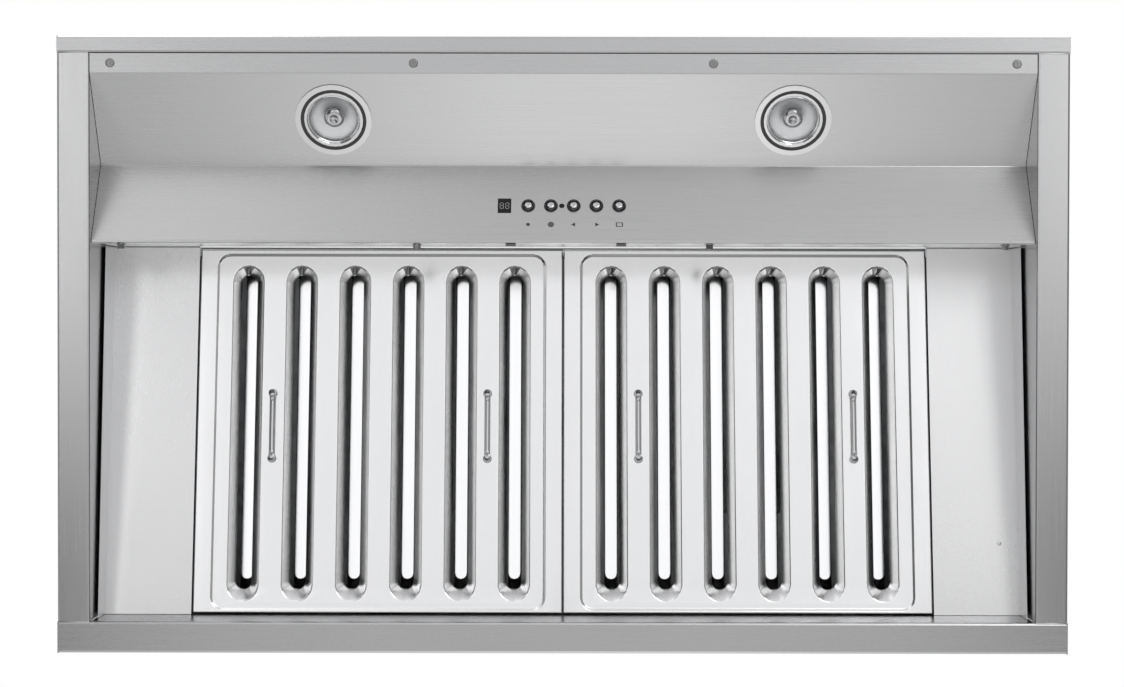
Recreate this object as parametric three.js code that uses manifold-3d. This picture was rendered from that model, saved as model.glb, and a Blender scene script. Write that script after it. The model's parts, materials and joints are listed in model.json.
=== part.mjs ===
// Range hood insert: a stainless steel pan that hangs in a cabinet, with a folded console across
// its front (two lamps, five buttons and a display), two hinged baffle filters, two side fillers,
// and a box on top that holds a centrifugal blower under a round duct collar.
// Millimetres. X is the width, -Y is the front (the console side) and +Z is up. The origin is the
// centre of the underside of the rim, which is the face that a cook sees from below.

import * as THREE from "three";
import { mergeGeometries, mergeVertices } from "three/addons/utils/BufferGeometryUtils.js";
import Module from "manifold-3d";

const wasm = await Module();
wasm.setup();

// ---- Driving dimensions --------------------------------------------------------------------

const sheet = 1.2; // steel of the pan, console and fillers
const thinSheet = 0.8; // steel of the filters and the duct collar
const seat = 0.3; // clearance between pieces that rest on each other
const insideBend = 1; // inside radius of the folds
const bendSteps = 2;

// Rim and pan walls
const rimWidth = 902;
const rimDepth = 550;
const sideStrip = 29;
const frontStrip = 15;
const rearStrip = 28;
const lipHeight = 14;
const panHeight = 135;
const wallFlange = 14;

// Console
const consoleDrop = 1; // the console's front flange lies this far above the rim
const consoleFlange = 17.5;
const lampSlopeRun = 78.5;
const valleyRise = 46;
const controlSlopeRun = 73;
const controlSlopeDrop = 42;
const returnWallHeight = 89;
const ledgeHeight = 22;
const ledgeInset = 2.4; // from the walls and from the rear of the flange

// Lamps
const lampSpacing = 414;
const lampPlace = 0.5; // share of the way along the lamp slope
const bezelRadius = 34.5;
const bezelThickness = 1.2;
const bezelOpening = 23.3;
const bezelRingRadius = 27.4; // of the bright ring inside the dark groove
const bezelRingProud = 0.8;
const bezelRingChamfer = 0.9;
const bezelGrooveRadius = 28.6;
const bezelGrooveDepth = 2.2;
const lampHoleRadius = 30;
const lampNeckDepth = 9;
const lampCanRadius = 33;
const lampCanDepth = 52;
const lampCanFlange = 6;
const reflectorRadius = 24.6;
const reflectorDepth = 36;
const reflectorNeck = 9;
const reflectorWall = 1.4;
const reflectorSkirt = 3; // straight part at its mouth
const reflectorBowl = 24; // depth of the curved part
const reflectorFullness = 0.96; // 1 would close the bowl
const glassRadius = 22.4;
const glassThickness = 1.2;
const glassSetback = 0.6; // behind the front of the reflector
const bulbRadius = 5;
const bulbLength = 22; // of the part that shines
const bulbBase = 6;
const bulbTail = 4; // behind the reflector

// Buttons, display and control box
const buttonCount = 5;
const buttonPitch = 20.5;
const buttonRadius = 6;
const buttonProud = 3;
const buttonEdge = 1; // chamfer
const buttonCollarRadius = 7.6;
const buttonCollarThickness = 1;
const buttonStemRadius = 2;
const buttonStemLength = 5;
const buttonClearance = 0.4;
const buttonPlace = 0.52; // share of the way down the control slope
const buttonCentre = 9.4; // the middle button lies this far right of the middle
const displayWidth = 11.5;
const displayHeight = 15;
const displayPlace = -53;
const sensorRadius = 2.2;
const sensorPlace = -1.3;
const windowThickness = 2;
const windowProud = 0.2;
const controlBoxWidth = 136;
const controlBoxLength = 44;
const controlBoxDepth = 20;
const controlBoxWall = 1.5;
const boardDepth = 9;
const boardThickness = 1.6;
const switchHeight = 0.7; // of a switch above the board, towards its button
const switchHalf = 3;

// Filters, their hinge and the fillers
const filterFrontHeight = 96; // underside at the console's return wall
const filterRearHeight = 46; // underside at the rear wall
const filterWidth = 337.4;
const filterThickness = 38.5;
const filterGap = 1.6; // between the two filters, and from each to its filler
const filterRearGap = 2;
const rodRadius = 2;
const rodClearance = 0.4;
const rodBehindWall = 3.7;
const tabRing = 3; // metal round the rod in the tabs that carry it
const railHeight = 48;
const railDrop = 10; // from the top of the walls to the top of the rail
const leafThickness = 0.5;
const leafHalfWidth = 15;
const leafFoot = 12; // from the crest of the bow to where it leaves the wall
const leafTail = 30; // from the crest to the top of the spring
const leafCrestHalf = 2;
const leafBelowRim = 3;
const embossSide = 15;
const embossFront = 3.4;
const embossRear = 1.6;
const embossRadius = 12;
const embossStep = 1.5;
const embossSlope = 2.4;
const rimFront = 7; // from the rod to the front of the rims and of the second pressing
const slotCount = 6;
const slotSideMargin = 44.2; // from the side of a filter to the middle of its outer slot
const slotHalfWidth = 15;
const lipRun = 8; // how far the flared lip of a slot reaches in from the slot's outline
const lipRearRun = 12.8; // the same at the rear end, where the slope is gentler
const lipRise = 10;
const lipFold = 1.2; // run of the fold at the foot of the lip
const slotFrontEnd = 14; // measured from the hinge rod along the plate
const slotRearMargin = 9;
const ridgeHalfWidth = 6.5;
const ridgeDepth = 5.5;
const ridgeEdge = 1.2; // run of the slanted sides of a ridge
const ridgeFrontStep = 3.5; // how far the crown of a ridge ends short of its slot
const ridgeRearStep = 22.3;
const ridgeRamp = 12; // run of the slope at the rear end of a ridge
const ridgeLedge = 0.5; // from the foot of a ridge to the vent beside it
const outerVentHalfWidth = 12;
const ventCorner = 4;
const handleLength = 66;
const handleProud = 20;
const handleWire = 2.8; // radius
const handlePlace = 0.49; // share of the plate's length, to the handle's middle
const handleBend = 8;
const fillerFlangeFront = 40;
const fillerFlangeRear = 25;
const fillerSideGap = 2.5;
const fillerReturn = 12;

// Blower box, scroll and wheel
const boxHalfWidth = 240;
const boxFront = -100;
const boxRear = 176;
const boxTop = 300;
const boxFoot = 14;
const wheelRadius = 62;
const wheelHalfWidth = 65;
const bladeDepth = 9;
const bladeCount = 22;
const bladeThickness = 1;
const bladeLean = 0.1; // in radians, from its inner to its outer edge
const wheelRingHalf = 1.5; // half the width of the rings that hold the blades
const wheelPlate = 1.6;
const wheelHubRadius = 13;
const wheelHubGap = 2; // from the motor to the hub
const wheelHubLength = 18;
const wheelPlateSetback = 4; // of the plate, from the end of the hub
const shaftInMotor = 24;
const shaftRadius = 4;
const scrollAxisY = 0;
const scrollAxisZ = 225;
const scrollStart = 69; // radius at the top
const scrollGrowth = 7.5; // added radius in a quarter turn
const scrollHalfWidth = 72;
const scrollCutoff = 15;
const scrollFlange = 12;
const inletRadius = 54;
const inletConeDepth = 5;
const inletConeFlare = 0.6;
const scrollSteps = 24;
const motorRadius = 40;
const motorLength = 66;
const motorBoss = 3;
const motorBossRadius = 12;
const motorShoulder = 4; // taken off the radius at the rear
const motorRearRadius = 24;
const bracketHubRadius = 26;
const bracketArmWidth = 14;
const bracketOverlap = 12; // of the arms on the cheek, past its inlet

// Duct collar and damper
const collarY = 53;
const collarRadius = 99;
const collarHeight = 45;
const collarFlange = 14;
const collarBead = 2; // height of the bead that seals the duct
const collarBeadHalf = 3;
const collarBeadDrop = 12; // from the top of the collar
const ductHoleRadius = 88;
const flapRadius = 96;
const flapThickness = 1;
const flapSetback = 4; // from the rod's axis to each flap's straight edge
const ductBridge = 6; // half the width of the strip that the flaps' straight edges rest on
const damperRodRadius = 2.5;

// Electrical pieces on and in the box
const wiringBoxInset = 46; // from the left wall
const wiringBoxGap = 12; // to the feet of the blower box
const wiringBoxDepth = 120;
const wiringBoxHeight = 48;
const coverSkirt = 8;
const bushingRadius = 11;
const bushingWall = 3.5;
const bushingHead = 6; // how far it stands out of the box
const bushingCollar = 2;
const bushingInside = 4;
const capacitorRadius = 18;
const capacitorLength = 64;
const capacitorEdge = 2; // chamfer
const capacitorSetback = 46; // from the rear of the box
const capacitorDrop = 60; // from its top

// ---- Worked out from them ------------------------------------------------------------------

const innerX = rimWidth / 2 - sideStrip;
const frontY = -rimDepth / 2 + frontStrip;
const rearY = rimDepth / 2 - rearStrip;
const deckBottom = panHeight + seat;
const deckTop = deckBottom + sheet;

const flangeFrontY = frontY + seat;
const flangeRearY = flangeFrontY + consoleFlange;
const valleyY = flangeRearY + lampSlopeRun;
const valleyZ = consoleDrop + valleyRise;
const lowerEdgeY = valleyY + controlSlopeRun;
const lowerEdgeZ = valleyZ - controlSlopeDrop;
const returnWallTop = lowerEdgeZ + returnWallHeight;
const lampTilt = Math.atan2(valleyRise, lampSlopeRun);
const controlTilt = Math.atan2(controlSlopeDrop, controlSlopeRun);

const filterTilt = Math.atan2(filterFrontHeight - filterRearHeight, rearY - lowerEdgeY);
const hingeDrop = rodRadius + rodClearance + thinSheet; // from the rod's axis to the underside
const rodY = lowerEdgeY + rodBehindWall;
const rodZ =
  filterFrontHeight - rodBehindWall * Math.tan(filterTilt) + hingeDrop / Math.cos(filterTilt);
const filterTop = filterThickness - hingeDrop; // from the rod's axis to the top of the rims
const rimReach = rearY - filterRearGap - rodY; // from the rod to the rear rim, which is upright
const plateLength = (rimReach + hingeDrop * Math.sin(filterTilt)) / Math.cos(filterTilt);
const rimLean = (height) => (height + hingeDrop) * Math.tan(filterTilt);
const rearRimTop =
  rodZ -
  (plateLength - rimLean(filterTop)) * Math.sin(filterTilt) +
  filterTop * Math.cos(filterTilt);
const filterCentreX = (filterGap + filterWidth) / 2;
const slotPitch = (filterWidth - 2 * slotSideMargin) / (slotCount - 1);
const slotRearEnd = plateLength - slotRearMargin;
const ridgeFrontEnd = slotFrontEnd + ridgeFrontStep;
const ridgeRearEnd = slotRearEnd - ridgeRearStep;
const fillerInnerX = filterGap / 2 + filterWidth + filterGap;
const fieldLevel = embossStep - hingeDrop;

const scrollRadius = (quarterTurns) => scrollStart + scrollGrowth * quarterTurns;
const outletRearY = scrollAxisY + scrollRadius(3);
const scrollTop = boxTop - sheet - seat;

// ---- Shape tools ---------------------------------------------------------------------------

function shapeOf(points) {
  return new THREE.Shape(points.map(([a, b]) => new THREE.Vector2(a, b)));
}

function extrude(shape, length, axes, origin) {
  const geometry = new THREE.ExtrudeGeometry(shape, {
    depth: length,
    bevelEnabled: false,
    curveSegments: 12,
  });
  const place = new THREE.Matrix4().makeBasis(...axes).setPosition(...origin);
  return geometry.applyMatrix4(place);
}

const alongX = new THREE.Vector3(1, 0, 0);
const alongY = new THREE.Vector3(0, 1, 0);
const alongZ = new THREE.Vector3(0, 0, 1);

// A shape drawn in Y and Z, drawn out along X.
function extrudeX(shape, fromX, toX) {
  return extrude(shape, toX - fromX, [alongY, alongZ, alongX], [fromX, 0, 0]);
}

// A shape drawn in X and Z, drawn out along Y.
function extrudeY(shape, fromY, toY) {
  const backwards = alongY.clone().negate();
  return extrude(shape, toY - fromY, [alongX, alongZ, backwards], [0, toY, 0]);
}

// A shape drawn in X and Y, drawn out along Z.
function extrudeZ(shape, fromZ, toZ) {
  return extrude(shape, toZ - fromZ, [alongX, alongY, alongZ], [0, 0, fromZ]);
}

function block(fromX, toX, fromY, toY, fromZ, toZ) {
  const geometry = new THREE.BoxGeometry(toX - fromX, toY - fromY, toZ - fromZ);
  return geometry.translate((fromX + toX) / 2, (fromY + toY) / 2, (fromZ + toZ) / 2);
}

function rectangle(fromA, toA, fromB, toB) {
  return shapeOf([
    [fromA, fromB],
    [toA, fromB],
    [toA, toB],
    [fromA, toB],
  ]);
}

// A profile of [radius, height] pairs turned about Z.
function revolve(profile, segments) {
  const points = profile.map(([radius, height]) => new THREE.Vector2(radius, height));
  return new THREE.LatheGeometry([...points, points[0]], segments);
}

// LatheGeometry turns about Y, so its pieces are laid over to stand along Z or X.
function revolveZ(profile, segments = 28) {
  return revolve(profile, segments).rotateX(Math.PI / 2);
}

function revolveX(profile, segments = 24) {
  return revolve(profile, segments).rotateZ(-Math.PI / 2);
}

function solid(geometry) {
  const bare = geometry.clone();
  bare.deleteAttribute("normal");
  bare.deleteAttribute("uv");
  const merged = mergeVertices(bare, 1e-4);
  const mesh = new wasm.Mesh({
    numProp: 3,
    vertProperties: new Float32Array(merged.attributes.position.array),
    triVerts: new Uint32Array(merged.index.array),
  });
  return new wasm.Manifold(mesh);
}

function geometryOf(manifold) {
  const mesh = manifold.getMesh();
  const geometry = new THREE.BufferGeometry();
  geometry.setAttribute("position", new THREE.BufferAttribute(mesh.vertProperties, 3));
  geometry.setIndex(new THREE.BufferAttribute(mesh.triVerts, 1));
  geometry.computeVertexNormals();
  return geometry;
}

function join(...geometries) {
  return geometryOf(geometries.map(solid).reduce((whole, piece) => whole.add(piece)));
}

function cut(geometry, ...tools) {
  return geometryOf(tools.map(solid).reduce((rest, tool) => rest.subtract(tool), solid(geometry)));
}

// The corners of a path become folds: arcs whose inside radius is `insideBend`.
function foldedPath(path, thickness) {
  const points = [path[0]];
  for (let i = 1; i < path.length - 1; i++) {
    const arriving = path[i].clone().sub(path[i - 1]).normalize();
    const leaving = path[i + 1].clone().sub(path[i]).normalize();
    const turn = Math.atan2(arriving.cross(leaving), arriving.dot(leaving));
    const side = Math.sign(turn);
    const radius = insideBend + (side > 0 ? thickness : 0);
    const reach = radius * Math.tan(Math.abs(turn) / 2);
    const start = path[i].clone().addScaledVector(arriving, -reach);
    const inward = new THREE.Vector2(-arriving.y, arriving.x).multiplyScalar(side * radius);
    const centre = start.clone().add(inward);
    for (let step = 0; step <= bendSteps; step++) {
      points.push(start.clone().rotateAround(centre, (turn * step) / bendSteps));
    }
  }
  points.push(path[path.length - 1]);
  return points;
}

// The same path moved sideways to its left.
function offsetPath(points, distance) {
  const leftOf = (from, to) => {
    const along = to.clone().sub(from).normalize();
    return new THREE.Vector2(-along.y, along.x);
  };
  return points.map((point, i) => {
    const before = i > 0 ? leftOf(points[i - 1], point) : leftOf(point, points[i + 1]);
    const after = i < points.length - 1 ? leftOf(point, points[i + 1]) : before;
    const middle = before.clone().add(after).normalize();
    return point.clone().addScaledVector(middle, distance / middle.dot(before));
  });
}

// The section of a folded sheet whose path is one face, with the metal on the path's left.
function foldedSheet(path, thickness = sheet) {
  const vectors = path.map(([a, b]) => new THREE.Vector2(a, b));
  const face = foldedPath(vectors, thickness);
  return new THREE.Shape([...face, ...offsetPath(face, thickness).reverse()]);
}

// Loops for embossed rectangles and slots, moved inwards by `inset`.
function roundedLoop(halfWidth, halfLength, radius, inset, steps) {
  const corner = radius - inset;
  const loop = [];
  for (let quarter = 0; quarter < 4; quarter++) {
    const x = (halfWidth - radius) * (quarter === 0 || quarter === 3 ? 1 : -1);
    const y = (halfLength - radius) * (quarter < 2 ? 1 : -1);
    for (let step = 0; step <= steps; step++) {
      const angle = ((quarter + step / steps) * Math.PI) / 2;
      loop.push(new THREE.Vector2(x + corner * Math.cos(angle), y + corner * Math.sin(angle)));
    }
  }
  return loop;
}

function slotLoop(halfWidth, halfLength, inset, steps) {
  const end = halfWidth - inset;
  const loop = [];
  for (const half of [1, -1]) {
    for (let step = 0; step <= steps; step++) {
      const angle = (step / steps) * Math.PI;
      const x = half * end * Math.cos(angle);
      const y = half * (halfLength - halfWidth + end * Math.sin(angle));
      loop.push(new THREE.Vector2(x, y));
    }
  }
  return loop;
}

// A skin through rings of points. It closes on itself, or ends in two flat caps.
function loft(rings, closed) {
  const count = rings[0].length;
  const positions = rings.flat().flatMap((point) => [point.x, point.y, point.z]);
  const index = [];
  const bands = closed ? rings.length : rings.length - 1;
  for (let i = 0; i < bands; i++) {
    const here = i * count;
    const next = ((i + 1) % rings.length) * count;
    for (let j = 0; j < count; j++) {
      const k = (j + 1) % count;
      index.push(here + j, here + k, next + k, here + j, next + k, next + j);
    }
  }
  if (!closed) {
    const last = (rings.length - 1) * count;
    for (let j = 1; j < count - 1; j++) {
      index.push(0, j + 1, j, last, last + j, last + j + 1);
    }
  }
  const geometry = new THREE.BufferGeometry();
  geometry.setAttribute("position", new THREE.Float32BufferAttribute(positions, 3));
  geometry.setIndex(signedVolume(positions, index) < 0 ? index.reverse() : index);
  return geometry;
}

function signedVolume(positions, index) {
  const corner = (i) => new THREE.Vector3().fromArray(positions, index[i] * 3);
  let volume = 0;
  for (let i = 0; i < index.length; i += 3) {
    volume += corner(i).dot(corner(i + 1).cross(corner(i + 2)));
  }
  return volume;
}

const ringAt = (loop, height) => loop.map((point) => new THREE.Vector3(point.x, point.y, height));

const root = new THREE.Group();

function add(parent, name, geometry, material) {
  const mesh = new THREE.Mesh(geometry, material());
  mesh.name = name;
  parent.add(mesh);
}

const sides = [
  ["left", -1],
  ["right", 1],
];

// ---- Materials -----------------------------------------------------------------------------

const metal = (color, roughness) => () =>
  new THREE.MeshStandardMaterial({ color, roughness, metalness: 1 });
const moulded = (color, roughness) => () =>
  new THREE.MeshStandardMaterial({ color, roughness, metalness: 0 });
const brushedSteel = metal(0xc4c5c6, 0.35);
const filterSteel = metal(0xd8d9da, 0.22);
const handleChrome = metal(0xdedfe0, 0.1);
const galvanised = metal(0xa9adb0, 0.5);
const darkSteel = metal(0x6c6f72, 0.5);
const blackPlastic = moulded(0x18191b, 0.5);
const greyPlastic = moulded(0x55585c, 0.5);
const circuitGreen = moulded(0x1f4a33, 0.6);
const lampGlass = () =>
  new THREE.MeshStandardMaterial({ color: 0xf4f6f8, roughness: 0.08, transparent: true, opacity: 0.4 });

// ---- Pan: four folded walls and the deck ----------------------------------------------------

function frontWall() {
  const outerY = -rimDepth / 2;
  const strip = foldedSheet([
    [outerY, lipHeight],
    [outerY, 0],
    [frontY, 0],
    [frontY, wallFlange],
  ]);
  const wall = foldedSheet([
    [frontY, wallFlange / 2],
    [frontY, panHeight],
    [frontY - wallFlange, panHeight],
  ]);
  const half = rimWidth / 2;
  const ends = sides.map(([, side]) => {
    const face = side * half;
    const back = face - side * sheet;
    return block(Math.min(face, back), Math.max(face, back), outerY, frontY, 0, lipHeight);
  });
  return join(extrudeX(strip, -half, half), extrudeX(wall, -innerX, innerX), ...ends);
}

function rearWall() {
  const outerY = rimDepth / 2;
  const strip = foldedSheet([
    [rearY, wallFlange],
    [rearY, 0],
    [outerY, 0],
    [outerY, lipHeight],
  ]);
  const wall = foldedSheet([
    [rearY + wallFlange, panHeight],
    [rearY, panHeight],
    [rearY, wallFlange / 2],
  ]);
  const half = rimWidth / 2;
  const ends = sides.map(([, side]) => {
    const face = side * half;
    const back = face - side * sheet;
    return block(Math.min(face, back), Math.max(face, back), rearY, outerY, 0, lipHeight);
  });
  return join(extrudeX(strip, -half, half), extrudeX(wall, -innerX, innerX), ...ends);
}

function sideWall(side) {
  const outerX = rimWidth / 2;
  const section = foldedSheet([
    [innerX + wallFlange, panHeight],
    [innerX, panHeight],
    [innerX, 0],
    [outerX, 0],
    [outerX, lipHeight],
  ]);
  const wall = extrudeY(section, frontY + seat, rearY - seat);
  return side < 0 ? wall.rotateZ(Math.PI).translate(0, frontY + rearY, 0) : wall;
}

function topDeck() {
  const reach = wallFlange - insideBend;
  const plate = rectangle(-innerX - reach, innerX + reach, frontY - reach, rearY + reach);
  const opening = rectangle(
    -boxHalfWidth + boxFoot,
    boxHalfWidth - boxFoot,
    boxFront + boxFoot,
    boxRear - boxFoot,
  );
  plate.holes.push(opening);
  return extrudeZ(plate, deckBottom, deckTop);
}

add(root, "front_wall", frontWall(), brushedSteel);
add(root, "rear_wall", rearWall(), brushedSteel);
for (const [name, side] of sides) {
  add(root, name + "_wall", sideWall(side), brushedSteel);
}
add(root, "top_deck", topDeck(), galvanised);

// ---- Console -------------------------------------------------------------------------------

// A group whose +Z points into the hood, square to a slope, with +Y along the slope to the rear.
function slopeGroup(y, z, tilt) {
  const group = new THREE.Group();
  group.position.set(0, y, z);
  group.rotation.x = tilt;
  root.add(group);
  group.updateMatrixWorld();
  return group;
}

const lampSlopeLength = Math.hypot(lampSlopeRun, valleyRise);
const controlSlopeLength = Math.hypot(controlSlopeRun, controlSlopeDrop);
const lampGroup = slopeGroup(
  flangeRearY + lampPlace * lampSlopeRun,
  consoleDrop + lampPlace * valleyRise,
  lampTilt,
);
const controlGroup = slopeGroup(
  valleyY + buttonPlace * controlSlopeRun,
  valleyZ - buttonPlace * controlSlopeDrop,
  -controlTilt,
);
const buttonX = (i) => buttonCentre + (i - (buttonCount - 1) / 2) * buttonPitch;
const inGroup = (group, geometry) => geometry.clone().applyMatrix4(group.matrixWorld);

function drill(radius, depth, x, segments) {
  return new THREE.CylinderGeometry(radius, radius, depth * 2, segments)
    .rotateX(Math.PI / 2)
    .translate(x, 0, 0);
}

function displayBlock(clearance, fromZ, toZ) {
  const half = displayWidth / 2 + clearance;
  const reach = displayHeight / 2 + clearance;
  return block(displayPlace - half, displayPlace + half, -reach, reach, fromZ, toZ);
}

function consolePanel() {
  const section = foldedSheet([
    [flangeFrontY, consoleDrop],
    [flangeRearY, consoleDrop],
    [valleyY, valleyZ],
    [lowerEdgeY, lowerEdgeZ],
    [lowerEdgeY, returnWallTop],
  ]);
  const panel = extrudeX(section, -innerX + seat, innerX - seat);
  const depth = 4 * sheet;
  const lampHoles = sides.map(([, side]) =>
    inGroup(lampGroup, drill(lampHoleRadius, depth, (side * lampSpacing) / 2, 28)),
  );
  const buttonHoles = Array.from({ length: buttonCount }, (_, i) =>
    inGroup(controlGroup, drill(buttonRadius + buttonClearance, depth, buttonX(i), 16)),
  );
  const sensorHole = inGroup(controlGroup, drill(sensorRadius + seat, depth, sensorPlace, 12));
  const displayHole = inGroup(controlGroup, displayBlock(seat, -depth, depth));
  return cut(panel, ...lampHoles, ...buttonHoles, sensorHole, displayHole);
}

function consoleLedge() {
  const base = consoleDrop + sheet + seat;
  const section = foldedSheet([
    [flangeFrontY, base + ledgeHeight],
    [flangeFrontY, base],
    [flangeRearY - ledgeInset, base],
  ]);
  return extrudeX(section, -innerX + ledgeInset, innerX - ledgeInset);
}

add(root, "console_panel", consolePanel(), brushedSteel);
add(root, "console_ledge", consoleLedge(), galvanised);

// ---- Lamps ---------------------------------------------------------------------------------

function lampBezel() {
  const neck = lampHoleRadius - seat;
  const back = bezelGrooveDepth + bezelThickness;
  return revolveZ([
    [bezelGrooveRadius, -bezelThickness],
    [bezelRadius, -bezelThickness],
    [bezelRadius, -seat],
    [neck, -seat],
    [neck, lampNeckDepth],
    [neck - bezelThickness, lampNeckDepth],
    [neck - bezelThickness, back],
    [bezelOpening, back],
    [bezelOpening, bezelRingChamfer - bezelRingProud],
    [bezelOpening + bezelRingChamfer, -bezelRingProud],
    [bezelRingRadius - bezelRingChamfer, -bezelRingProud],
    [bezelRingRadius, bezelRingChamfer - bezelRingProud],
    [bezelRingRadius, bezelGrooveDepth],
    [bezelGrooveRadius, bezelGrooveDepth],
  ]);
}

const reflectorFront = bezelGrooveDepth + bezelThickness + seat;

function lampReflector() {
  const curve = [0, 0.4, 0.75, 1].map((share) => {
    const bow = Math.sqrt(1 - share * share * reflectorFullness);
    const radius = reflectorNeck + (reflectorRadius - reflectorNeck) * bow;
    return [radius, reflectorFront + reflectorSkirt + share * reflectorBowl];
  });
  const outside = curve.map(([radius, height]) => [radius, height]);
  const inside = curve
    .map(([radius, height]) => [radius - reflectorWall, height - reflectorWall / 2])
    .reverse();
  const back = reflectorFront + reflectorDepth;
  return revolveZ([
    [reflectorRadius, reflectorFront],
    ...outside,
    [reflectorNeck, back],
    [bulbRadius + seat, back],
    [bulbRadius + seat, inside[0][1]],
    ...inside.slice(1),
    [reflectorRadius - reflectorWall, reflectorFront],
  ]);
}

function lampGlassDisc() {
  const front = reflectorFront + glassSetback;
  return revolveZ([
    [0, front],
    [glassRadius, front],
    [glassRadius, front + glassThickness],
    [0, front + glassThickness],
  ]);
}

function lampBulb() {
  const back = reflectorFront + reflectorDepth + bulbTail;
  const tip = back - bulbBase - bulbLength;
  return revolveZ(
    [
      [0, tip],
      [bulbRadius * 0.6, tip + bulbRadius * 0.2],
      [bulbRadius, tip + bulbRadius * 0.8],
      [bulbRadius, back],
      [0, back],
    ],
    20,
  );
}

function lampCan() {
  return revolveZ([
    [lampCanRadius - thinSheet, sheet + seat],
    [lampCanRadius + lampCanFlange, sheet + seat],
    [lampCanRadius + lampCanFlange, sheet + seat + thinSheet],
    [lampCanRadius, sheet + seat + thinSheet],
    [lampCanRadius, lampCanDepth],
    [0, lampCanDepth],
    [0, lampCanDepth - thinSheet],
    [lampCanRadius - thinSheet, lampCanDepth - thinSheet],
  ]);
}

for (const [name, side] of sides) {
  const place = new THREE.Group();
  place.position.x = (side * lampSpacing) / 2;
  lampGroup.add(place);
  add(place, "lamp_bezel_" + name, lampBezel(), handleChrome);
  add(place, "lamp_reflector_" + name, lampReflector(), handleChrome);
  add(place, "lamp_glass_" + name, lampGlassDisc(), lampGlass);
  add(place, "lamp_bulb_" + name, lampBulb(), lampGlass);
  add(place, "lamp_can_" + name, lampCan(), galvanised);
}

// ---- Buttons, display, sensor and control box ------------------------------------------------

function pushButton() {
  const behind = sheet + buttonClearance;
  return revolveZ(
    [
      [0, -buttonProud],
      [buttonRadius - buttonEdge, -buttonProud],
      [buttonRadius, buttonEdge - buttonProud],
      [buttonRadius, behind],
      [buttonCollarRadius, behind],
      [buttonCollarRadius, behind + buttonCollarThickness],
      [buttonStemRadius, behind + buttonCollarThickness],
      [buttonStemRadius, behind + buttonStemLength],
      [0, behind + buttonStemLength],
    ],
    16,
  );
}

function sensorWindow() {
  return revolveZ(
    [
      [0, 0],
      [sensorRadius, 0],
      [sensorRadius, boardDepth - seat],
      [0, boardDepth - seat],
    ],
    16,
  );
}

function controlBox() {
  const halfWidth = controlBoxWidth / 2;
  const halfLength = controlBoxLength / 2;
  const front = sheet + seat;
  const wall = controlBoxWall;
  const outside = block(-halfWidth, halfWidth, -halfLength, halfLength, front, controlBoxDepth);
  const inside = block(
    -halfWidth + wall,
    halfWidth - wall,
    -halfLength + wall,
    halfLength - wall,
    front - wall,
    controlBoxDepth - wall,
  );
  return cut(outside, inside);
}

function controlBoard() {
  const halfWidth = controlBoxWidth / 2 - controlBoxWall - seat;
  const halfLength = controlBoxLength / 2 - controlBoxWall - seat;
  const back = boardDepth + boardThickness;
  const plate = block(-halfWidth, halfWidth, -halfLength, halfLength, boardDepth, back);
  const front = boardDepth - switchHeight;
  const switches = Array.from({ length: buttonCount }, (_, i) => {
    const x = buttonX(i);
    return block(x - switchHalf, x + switchHalf, -switchHalf, switchHalf, front, back - seat);
  });
  return join(plate, ...switches);
}

for (let i = 0; i < buttonCount; i++) {
  const place = new THREE.Group();
  place.position.x = buttonX(i);
  controlGroup.add(place);
  add(place, "button_" + (i + 1), pushButton(), handleChrome);
}
add(controlGroup, "display_window", displayBlock(0, -windowProud, windowThickness), blackPlastic);
add(controlGroup, "sensor_window", sensorWindow().translate(sensorPlace, 0, 0), blackPlastic);
add(controlGroup, "control_box", controlBox(), blackPlastic);
add(controlGroup, "control_board", controlBoard(), circuitGreen);

// ---- Filter rail, hanger rod, catches and fillers --------------------------------------------

const railRear = lowerEdgeY - sheet - seat; // the rail stands behind the return wall
const railTop = panHeight - railDrop;
const tabHalf = thinSheet / 2;
const tabCentres = [-1, 0, 1].map((place) => place * (filterWidth + filterGap));

function rodTab(x) {
  const reach = rodRadius + tabRing;
  const tab = shapeOf([
    [railRear - sheet / 2, returnWallTop + sheet],
    [rodY + reach, rodZ - reach + sheet],
    [rodY + reach, rodZ + reach],
    [railRear - sheet / 2, railTop - 2 * sheet],
  ]);
  const hole = new THREE.Path();
  hole.absarc(rodY, rodZ, rodRadius + seat, 0, 2 * Math.PI, true);
  tab.holes.push(hole);
  return extrudeX(tab, x - tabHalf, x + tabHalf);
}

function filterRail() {
  const section = foldedSheet([
    [railRear, railTop - railHeight],
    [railRear, railTop],
    [railRear - 2 * wallFlange, railTop],
  ]);
  return join(extrudeX(section, -innerX + seat, innerX - seat), ...tabCentres.map(rodTab));
}

function hangerRod() {
  const half = fillerInnerX - seat;
  return new THREE.CylinderGeometry(rodRadius, rodRadius, 2 * half, 16)
    .rotateZ(Math.PI / 2)
    .translate(0, rodY, rodZ);
}

// A bowed leaf spring on the rear wall, which presses on the rear rim of a closed filter.
function rearCatch(x) {
  const wallFace = rearY - seat;
  const rimFace = rearY - filterRearGap + seat;
  const crest = rearRimTop - leafBelowRim;
  const section = foldedSheet(
    [
      [wallFace - leafThickness, crest + leafTail],
      [wallFace - leafThickness, crest + leafFoot],
      [rimFace, crest + leafCrestHalf],
      [rimFace, crest - leafCrestHalf],
      [wallFace - leafThickness, crest - leafFoot],
    ],
    leafThickness,
  );
  return extrudeX(section, x - leafHalfWidth, x + leafHalfWidth);
}

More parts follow.
